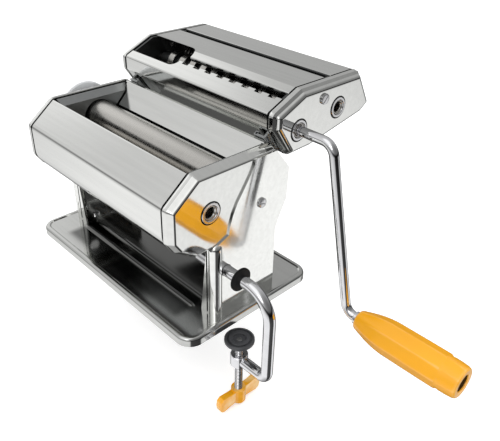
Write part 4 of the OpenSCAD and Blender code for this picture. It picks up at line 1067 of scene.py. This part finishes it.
class BuildKnob(bpy.types.Operator):
    """The thickness knob with its dial plate, screw, spring and pin"""
    bl_idname = "pasta.build_knob"
    bl_label = "Thickness Knob"

    def execute(self, context):
        s = settings("shape")
        y, z = REGULATOR
        profile = [(4.55, 92.22), (21.6, 92.22), (22.5, 92.9), (22.5, 94.4), (21.9, 95.3),
                   (20.8, 95.5), (18.0, 95.7), (17.2, 96.4), (17.0, 97.6), (16.6, 102.2),
                   (16.0, 103.3), (14.8, 103.92), (12.4, 103.7), (9.0, 103.3), (8.2, 102.7),
                   (8.0, 96.62), (4.55, 96.62)]
        knob = lathe("knob", [(r, -x) for r, x in profile], REGULATOR, sides=144, closed=True)
        bar = lathe("flute", [(2.0, -95.9), (2.3, -97.0), (2.6, -105.5)],
                    REGULATOR + turned(KNOB_START + 180 / s.flutes, 18.1), sides=20)
        bar.data.transform(Matrix.Translation((0, -y * MM, -z * MM)))
        carved(knob, with_tree(bar, round_tree(), count=s.flutes, centre=(0, y * MM, z * MM),
                               first_angle=0.0, material=MATERIALS["knob_grey"]))
        knob = bevelled(knob, 0.3, 2, 38)
        knob.name = "fluted_knob"
        place(knob, "knob_grey", "thickness_knob")
        if s.numbers:
            self.numbers()
        self.dial()
        coil_r, wire_r, start, rise, turns = 6.3, 0.45, 97.17, 2.9, 2.5
        coil = [(-(start + rise * u), y + coil_r * cos(2 * turns * pi * u),
                 z + coil_r * sin(2 * turns * pi * u)) for u in np.linspace(0, 1, 91)]
        place(tube("coil_spring", coil, [wire_r] * len(coil), 12), "zinc_steel", "knob_spring")
        head = [(0, -92.6), (2, -92.6), (2, -100.5), (6.9, -100.55), (7.4, -100.9), (7.4, -101.6),
                (6.2, -102.3), (0, -102.5)]
        slot = upright("slot", box_outline(-103.5, -101.4, y - 5, y + 5), z - 0.5, z + 0.5)
        place(carved(lathe("knob_screw_head", head, REGULATOR, sides=48), slot), "zinc_steel",
              "knob_screw")
        pin = [(0, -90.2), (1.2, -90.2), (1.4, -90.5), (1.4, -95.1), (0, -95.2)]
        place(lathe("detent", pin, REGULATOR + turned(KNOB_START, DETENT_R), sides=24),
              "zinc_steel", "detent_pin")
        return {"FINISHED"}

    def numbers(self):
        """The numbers 1 to 7 raised on the knob's skirt."""
        parts, count, ring_r, skirt_x = [], 7, 19.7, -95.5
        for i in range(count):
            curve = bpy.data.curves.new("number", "FONT")
            curve.body = str(i + 1)
            curve.size, curve.extrude = 4.4 * MM, 0.12 * MM
            curve.align_x = curve.align_y = "CENTER"
            text = new_object("number", curve)
            bpy.context.view_layer.update()
            mesh = bpy.data.meshes.new_from_object(text)
            bpy.data.objects.remove(text)
            angle = KNOB_START - 180 + KNOB_SWEEP * i / (count - 1)
            face, out = Vector((-1, 0, 0)), Vector((0, *turned(angle)))
            turn = Matrix((out.cross(face), out, face)).transposed().to_4x4()
            turn.translation = Vector((skirt_x, *(REGULATOR + turned(angle, ring_r)))) * MM
            mesh.transform(turn)
            parts.append(new_object("number", mesh))
        digits = joined("knob_numbers", *parts)
        digits.data.materials.clear()
        digits.data.materials.append(MATERIALS["dial_ink"])
        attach(digits, "knob")

    def dial(self):
        """The dial plate with its curved groove, between the cap and the knob."""
        plate = lathe("dial_disc", [(6.4, -89.55), (17.0, -89.55), (17.35, -89.9), (17.35, -91.1),
                                    (17.05, -91.4), (6.4, -91.4)], REGULATOR, sides=96,
                      closed=True)
        w, stop = 1.55, KNOB_START + KNOB_SWEEP

        def along(r, share):
            return [REGULATOR + turned(KNOB_START + KNOB_SWEEP * t, r) for t in share]

        def end(angle, first):
            return [REGULATOR + turned(angle, DETENT_R) + turned(first + a, w)
                    for a in np.linspace(15, 165, 9)]

        groove = (along(DETENT_R + w, np.linspace(0, 1, 41)) + end(stop, stop)
                  + along(DETENT_R - w, np.linspace(1, 0, 41)) + end(KNOB_START, KNOB_START + 180))
        place(sharpen(carved(plate, prism("groove", groove, -92.5, -90.0))), "plain_steel",
              "dial_plate")


class BuildCrank(bpy.types.Operator):
    """The bent crank with its turning grip"""
    bl_idname = "pasta.build_crank"
    bl_label = "Crank"

    def execute(self, context):
        y, z = WIDE_DRIVE
        grip_at = (y, GRIP_Z)
        line = bent_points([(75.5, z), (119, z), (147, GRIP_Z), (234, GRIP_Z)], [10, 10])
        line = [line[0], line[0] + v2(0.5, 0), *line[1:-1], line[-1] - v2(0.4, 0), line[-1]]
        radii = [3.1] + [CRANK_R] * (len(line) - 2) + [3.1]
        rod = tube("rod", [(p[0], y, p[1]) for p in line], radii, 40)
        carved(rod, lathe("bore", [(1.2, 228), (1.2, 236)], grip_at, sides=24))
        collar = lathe("collar", [(3.3, 155), (4.3, 155), (4.7, 155.3), (4.7, 157.1), (4.3, 157.4),
                                  (3.3, 157.4)], grip_at, closed=True)
        blade = prism("blade", box_outline(y - 3.2, y + 3.2, z - 1, z + 1), 71.7, 75.8)
        place(joined("bent_crank", rod, collar, bevelled(blade, 0.2)), "chrome_rod", "crank_rod")
        grip = self.grip()
        place(grip, "yellow_plastic", "crank_grip")
        axis = v2(*grip_at) * MM
        # Painted shade: the faces deep in the grip's bore get the dark yellow.
        two_toned(grip, lambda f: f.center.x > 230 * MM
                  and np.linalg.norm(v2(f.center.y, f.center.z) - axis) < 6.35 * MM,
                  "shaded_yellow")
        rivet = [(0, 229.1), (1.15, 229.1), (1.15, 233.9), (5.0, 233.95), (5.35, 234.2),
                 (5.35, 235.0), (5.0, 235.25), (3.2, 235.5), (2.9, 236.2), (1.8, 237.0),
                 (0, 237.3)]
        place(lathe("grip_rivet_head", rivet, grip_at, sides=48), "zinc_steel", "grip_rivet")
        return {"FINISHED"}

    def grip(self):
        """A flared, faceted grip: flat sides that fade into a round neck and a round end."""
        count = settings("shape").facets
        profile = [(6.4, 0), (6.9, 0.35), (7.5, 1.3), (8.0, 3), (9.1, 6.5), (10.4, 11),
                   (11.5, 16), (12.3, 21), (12.72, 26), (12.78, 40), (12.78, 56), (12.7, 66.5),
                   (12.55, 67.5), (12.0, 68.2), (11.85, 69.2), (12.05, 70.4), (11.9, 76),
                   (11.55, 79.6), (11.0, 81.3), (10.2, 82), (7.4, 82), (6.6, 81.7), (6.25, 81),
                   (6.2, 76.6), (3.55, 76.6), (3.55, 0)]
        flats = [0, 0, 0.1, 0.3, 0.7, *[1] * 7, 0.9, 0.4, 0.2, 0.5, 0.7, 0.5, 0.2, *[0] * 7]
        sides = count * 12
        verts = []
        for (r, h), flat in zip(profile, flats):
            for a in circle(sides):
                u = (a * count / (2 * pi)) % 1 - 0.5
                face = cos(pi / count) / cos(2 * pi * u / count)
                q = r * (1 - flat + flat * min(1.0, face * 1.012))
                verts.append((GRIP_X + h, CRANK_Y + q * cos(a), GRIP_Z + q * sin(a)))
        last = len(profile) - 1
        faces = bands(0, last, sides) + band(last, 0, sides)
        return sharpen(mesh_from("faceted_grip", verts, faces), 30)


class BuildClamp(bpy.types.Operator):
    """The table clamp: bent bar, washer, threaded screw, pressure pad and wing"""
    bl_idname = "pasta.build_clamp"
    bl_label = "Table Clamp"

    def execute(self, context):
        y, z = CLAMP
        line = bent_points([(66.55, z), (133, z), (133, -29), (108.6, -29)], [21, 7])
        line = [line[0], line[0] + v2(0.6, 0), *line[1:]]
        bar = tube("bar", [(p[0], y, p[1]) for p in line],
                   [3.6] + [CLAMP_R] * (len(line) - 1), 40)
        boss = self.upright_lathe("boss", [(3.05, -34), (6.0, -34), (6.5, -33.5), (6.5, -24.5),
                                           (6.0, -24), (3.5, -24), (3.05, -24.4)], closed=True)
        carved(bar, self.upright_lathe("hole", [(4.5, -36), (4.5, -22)], sides=48))
        place(joined("bent_clamp_bar", bar, boss), "chrome_rod", "clamp_frame")
        washer = [(4.2, 103.75), (7.9, 103.75), (8.5, 104.2), (8.55, 104.9), (8.5, 105.5),
                  (7.9, 105.95), (4.2, 105.95)]
        place(lathe("rubber_washer", washer, CLAMP, closed=True), "black_rubber", "clamp_washer")
        place(self.screw(), "zinc_steel", "clamp_screw")
        pad = [(0, -10.9), (2.15, -10.9), (2.15, -12.9), (5.2, -12.9), (5.8, -12.7), (6.1, -12.1),
               (10.3, -12), (10.9, -11.6), (11, -11), (10.9, -9.5), (10.4, -9), (9.6, -9),
               (9.3, -9.3), (9.2, -10.0), (7.9, -10.0), (7.8, -9.3), (7.5, -9), (5.2, -9),
               (4.8, -9.3), (4.6, -10.2), (2.0, -10.3), (0, -10.3)]
        place(self.upright_lathe("grooved_pad", pad, sides=72), "dark_plastic", "pressure_pad")
        collar = self.upright_lathe("collar", [(3.05, -59.6), (4.9, -59.6), (5.3, -59.3),
                                               (5.3, -58.9), (5.1, -58.8), (3.05, -58.8)],
                                    closed=True)
        place(joined("bow_tie_wing", softened("clamp_wing", 1.1, 4, 30), collar),
              "yellow_plastic", "clamp_wing")
        return {"FINISHED"}

    def upright_lathe(self, name, profile, **options):
        return lathe(name, profile, SCREW_AT, axis="z", **options)

    def screw(self):
        """A screw with a rolled thread: the radius follows the angle and the height."""
        depth, sides = settings("shape").thread / MM, 36

        def ring(z, radius):
            return [(SCREW_AT[0] + radius(a) * cos(a), SCREW_AT[1] + radius(a) * sin(a),
                     z) for a in circle(sides)]

        verts = []
        for z in np.arange(THREAD_LOW, THREAD_TOP + 0.1, THREAD_LEAD / 8):
            fade = max(min(1, (z - THREAD_LOW) / 1.5, (THREAD_TOP - z) / 1.5), 0)
            verts += ring(z, lambda a: 3.0 - depth * fade * (
                0.5 - 0.5 * cos(a - 2 * pi * z / THREAD_LEAD)) ** 0.8)
        for r, z in ((2.5, -13.6), (2.1, -13.3), (2.1, -10.5), (1.8, -10.2)):
            verts += ring(z, lambda a: r)
        last = len(verts) // sides - 1
        faces = bands(0, last, sides) + [disc(0, sides), disc(last, sides)]
        return sharpen(mesh_from("threaded_screw", verts, faces), 50)


class BuildScrews(bpy.types.Operator):
    """Every screw of the body, the cutter, the stands and the base"""
    bl_idname = "pasta.build_screws"
    bl_label = "Screws"

    def execute(self, context):
        self.row("tie_rod_screws", [(p, PLATE_SEAT) for p in TIE_RODS], 3.7)
        self.row("stand_screws", [(STAND_SCREW, STAND_SEAT)], 3.6)
        self.row("cutter_screws", [*((p, PLATE_SEAT) for p in CUTTER_RODS),
                                   (CUTTER_SCREW, CAP_SEAT)], 3.9)
        self.heads("base_screw_heads", self.screw(3.5, 1.75, 4.1),
                   [((x, y, FOOT_SEAT), (0, 0, copysign(25, x) + 40 * (y > 0)))
                    for x, y in BASE_SCREWS], "base_screws")
        return {"FINISHED"}

    def screw(self, r, height, shank):
        """A cheese-head screw standing on the origin: domed head, driving slot and shank."""
        profile = [(0, -shank), (1.9, -shank), (1.95, 0), (r - 0.2, 0), (r, 0.2),
                   (r, height * 0.62), (r * 0.93, height * 0.86), (r * 0.7, height), (0, height)]
        head = lathe("screw", profile, (0, 0), axis="z", sides=36)
        slot = upright("slot", box_outline(-5, 5, -0.45, 0.45), height - 0.75, height + 1)
        return bevelled(carved(head, slot), 0.08, 2, 40)

    def row(self, node, places, r):
        """Screws on both sides of the machine, with each slot turned its own way."""
        self.heads(node + "_heads", self.screw(r, 1.58, 11),
                   [((s * x, *p), (90, 37 * i + 20 * s, 90 * s))
                    for i, (p, x) in enumerate(places) for s in (-1, 1)], node)

    def heads(self, name, shape, spots, node):
        place(scattered(name, shape, spots, "zinc_steel"), "zinc_steel", node)


class FinishFrame(bpy.types.Operator):
    """Gives each fixed part that stays visible its finish; the inner parts get painted shade"""
    bl_idname = "pasta.finish_frame"
    bl_label = "Frame Finishes"

    def execute(self, context):
        # Painted shade: the frame plates, tie rods and combs inside get the dark steel instead of
        # plain steel.
        shaded = ("left_frame_plate", "right_frame_plate", "cutter_plates", "tie_rods",
                  "cutter_tie_rods", "wide_combs", "thin_combs")
        slots = {s["node"]: s["material_slot"] for s in frame["record"]["subparts"]}
        for name, obj in NODES.items():
            if not obj.material_slots:
                raise RuntimeError("no material slot on " + name)
            for s in obj.material_slots:
                s.material = MATERIALS["inner_steel" if name in shaded else slots[name]]
        return {"FINISHED"}


class BuildStage(bpy.types.Operator):
    """The pale floor, the studio's light and the camera"""
    bl_idname = "pasta.build_stage"
    bl_label = "Studio"

    def execute(self, context):
        s = settings("studio")
        self.floor()
        self.world(s)
        self.lamp("key_light", KEY_AT, s.key, 0.7)
        self.lamp("back_light", BACK_AT, s.key * 0.5, 0.6)
        data = bpy.data.cameras.new("camera")
        data.lens, data.sensor_width, data.clip_start = s.lens, SENSOR, 0.01
        cam = new_object("camera", data)
        look = Vector(CAMERA_LOOK).normalized()
        right = look.cross(Vector((0, 0, 1))).normalized()
        up = right.cross(look)
        roll = radians(CAMERA_ROLL)
        right, up = (right * cos(roll) + up * sin(roll),
                     up * cos(roll) - right * sin(roll))
        turn = Matrix((right, up, -look)).transposed().to_4x4()
        turn.translation = Vector(CAMERA_AT)
        cam.matrix_world = turn
        context.scene.camera = cam
        context.scene.view_settings.view_transform = "Standard"
        return {"FINISHED"}

    def lamp(self, name, at, power, size):
        data = bpy.data.lights.new(name, "AREA")
        data.energy, data.size = power, size
        lamp = new_object(name, data)
        lamp.visible_glossy = False
        spot = Vector(at)
        aim = (Vector(LAMPS_AIM) - spot).to_track_quat("-Z", "Y").to_matrix().to_4x4()
        lamp.matrix_world = Matrix.Translation(spot) @ aim

    def floor(self):
        """A wide floor below the clamp, lit a little from inside to stay pale."""
        size = FLOOR_SIZE
        mesh = bpy.data.meshes.new("floor")
        mesh.from_pydata([(*p, FLOOR_Z) for p in box_outline(-size, size, -size, size)], [],
                         [(0, 1, 2, 3)])
        obj = new_object("floor", mesh)
        material, tree, shader = new_material("pale_floor")
        path = add(tree, "ShaderNodeLightPath")
        seen = maths(tree, "MAXIMUM", path["Is Camera Ray"], path["Is Glossy Ray"])
        seen = maths(tree, "MAXIMUM", seen, path["Is Transmission Ray"])
        feed(tree, shader, {
            "Base Color": (0.86, 0.86, 0.86, 1), "Roughness": 0.9, "Specular IOR Level": 0.1,
            "Emission Color": (1, 1, 1, 1),
            "Emission Strength": maths(tree, "MULTIPLY", seen, FLOOR_GLOW)})
        mesh.materials.append(material)
        obj.visible_glossy = False

    def world(self, s):
        """White to the camera; to polished metal, a pale table, a dark horizon and a soft sky."""
        world = bpy.data.worlds.new("studio")
        bpy.context.scene.world = world
        world.use_nodes = True
        tree = world.node_tree
        aim = add(tree, "ShaderNodeTexCoord")["Generated"]
        split = add(tree, "ShaderNodeSeparateXYZ", {0: aim})
        height = split["Z"]

        def do(operation, *values):
            return maths(tree, operation, *values)

        def ramp(value, *stops):
            """Levels along a value, straight between their stops."""
            n = tree.nodes.new("ShaderNodeFloatCurve")
            feed(tree, n, {"Value": value})
            points = n.mapping.curves[0].points
            for k, stop in enumerate(stops):
                point = points[k] if k < 2 else points.new(*stop)
                point.location = stop
            for point in points:
                point.handle_type = "VECTOR"
            n.mapping.use_clip = False
            n.mapping.update()
            return n.outputs[0]

        def toward(direction, near, far, level):
            """A level inside a cone round a direction, falling to 0 outside it."""
            dot = vector_maths(tree, "DOT_PRODUCT", aim, Vector(direction).normalized())
            return do("MULTIPLY", spread(tree, dot["Value"], near, far, kind="SMOOTHSTEP"), level)

        turn = do("MULTIPLY", do("ARCTAN2", split["Y"], split["X"]), 0.5 / pi)
        turn = do("ADD", turn, 0.5)
        table = ramp(turn, (0.0, 0.75), (0.04, 0.8), (0.085, 1.0), (0.37, 0.95), (0.395, 0.08),
                     (0.575, 0.05), (0.6, 0.95), (0.65, 1.0), (0.675, 0.85), (0.71, 0.3),
                     (0.76, 0.14), (0.93, 0.12), (0.97, 0.5), (1.0, 0.75))
        fade = ramp(do("MULTIPLY", height, -1.0), (0.0, 0.6), (0.26, 0.7), (0.36, 0.86),
                    (0.48, 1.0), (0.75, 1.0), (1.0, 0.35))
        back = do("MULTIPLY_ADD", split["Y"], -0.22, 0.61)
        right = ramp(do("MAXIMUM", split["X"], 0.0), (0.0, 1.0), (0.15, 1.0), (0.5, 0.55),
                     (0.77, 0.32), (1.0, 0.22))
        softbox = do("ADD", toward((0.04, -0.49, 0.84), 0.82, 0.95, 0.45),
                     toward((-0.9, 0.1, 0.42), 0.89, 0.98, 0.42))
        sky = do("ADD", do("MULTIPLY", back, right), softbox)
        room = mixed(tree, do("GREATER_THAN", height, 0.0), do("MULTIPLY", table, fade), sky,
                     "FLOAT")
        band_level = ramp(turn, (0.0, 0.8), (0.06, 0.55), (0.105, 0.38), (0.25, 0.3),
                          (0.33, 0.1), (0.5, 0.04), (0.75, 0.04), (0.85, 0.45), (0.9, 0.8),
                          (1.0, 0.8))
        away = ramp(do("ABSOLUTE", height), (0.0, 0.0), (0.06, 0.0), (0.22, 1.0), (1.0, 1.0))
        room = do("MULTIPLY", room, mixed(tree, away, band_level, 1.0, "FLOAT"))
        room = do("ADD", room, toward((0.35, -0.75, 0.55), 0.965, 0.985, 1.6))
        path = add(tree, "ShaderNodeLightPath")
        glossy = do("MAXIMUM", path["Is Glossy Ray"], path["Is Transmission Ray"])
        light = mixed(tree, glossy, s.fill, room, "FLOAT")
        feed(tree, tree.nodes["Background"], {
            "Color": (1, 1, 1, 1),
            "Strength": mixed(tree, path["Is Camera Ray"], light, 1.0, "FLOAT")})


OPERATORS = (BuildStage, BuildBase, BuildStands, BuildCaps, BuildCovers, BuildInside, BuildRollers,
             BuildBushes, BuildKnob, BuildCrank, BuildClamp, BuildScrews, FinishFrame)


class PastaPanel(bpy.types.Panel):
    """Lists the machine's settings and its pieces"""
    bl_idname = "VIEW3D_PT_pasta_machine"
    bl_label = "Pasta Machine"
    bl_space_type = "VIEW_3D"
    bl_region_type = "UI"
    bl_category = "Pasta Machine"

    def draw(self, context):
        layout = self.layout
        for kind, group in SETTINGS.items():
            box = layout.box()
            box.label(text=kind.title())
            for key in group.__annotations__:
                box.prop(settings(kind), key)
        for op in OPERATORS:
            layout.operator(op.bl_idname)


def register():
    for cls in (*SETTINGS.values(), *OPERATORS, PastaPanel):
        bpy.utils.register_class(cls)
    for kind, group in SETTINGS.items():
        setattr(bpy.types.Scene, "pasta_" + kind, PointerProperty(type=group))


def unregister():
    for kind in SETTINGS:
        delattr(bpy.types.Scene, "pasta_" + kind)
    for cls in (PastaPanel, *reversed(OPERATORS), *reversed(SETTINGS.values())):
        bpy.utils.unregister_class(cls)


def main():
    register()
    make_materials()
    for op in OPERATORS:
        getattr(bpy.ops.pasta, op.bl_idname.split(".")[1])()


if __name__ == "__main__":
    main()
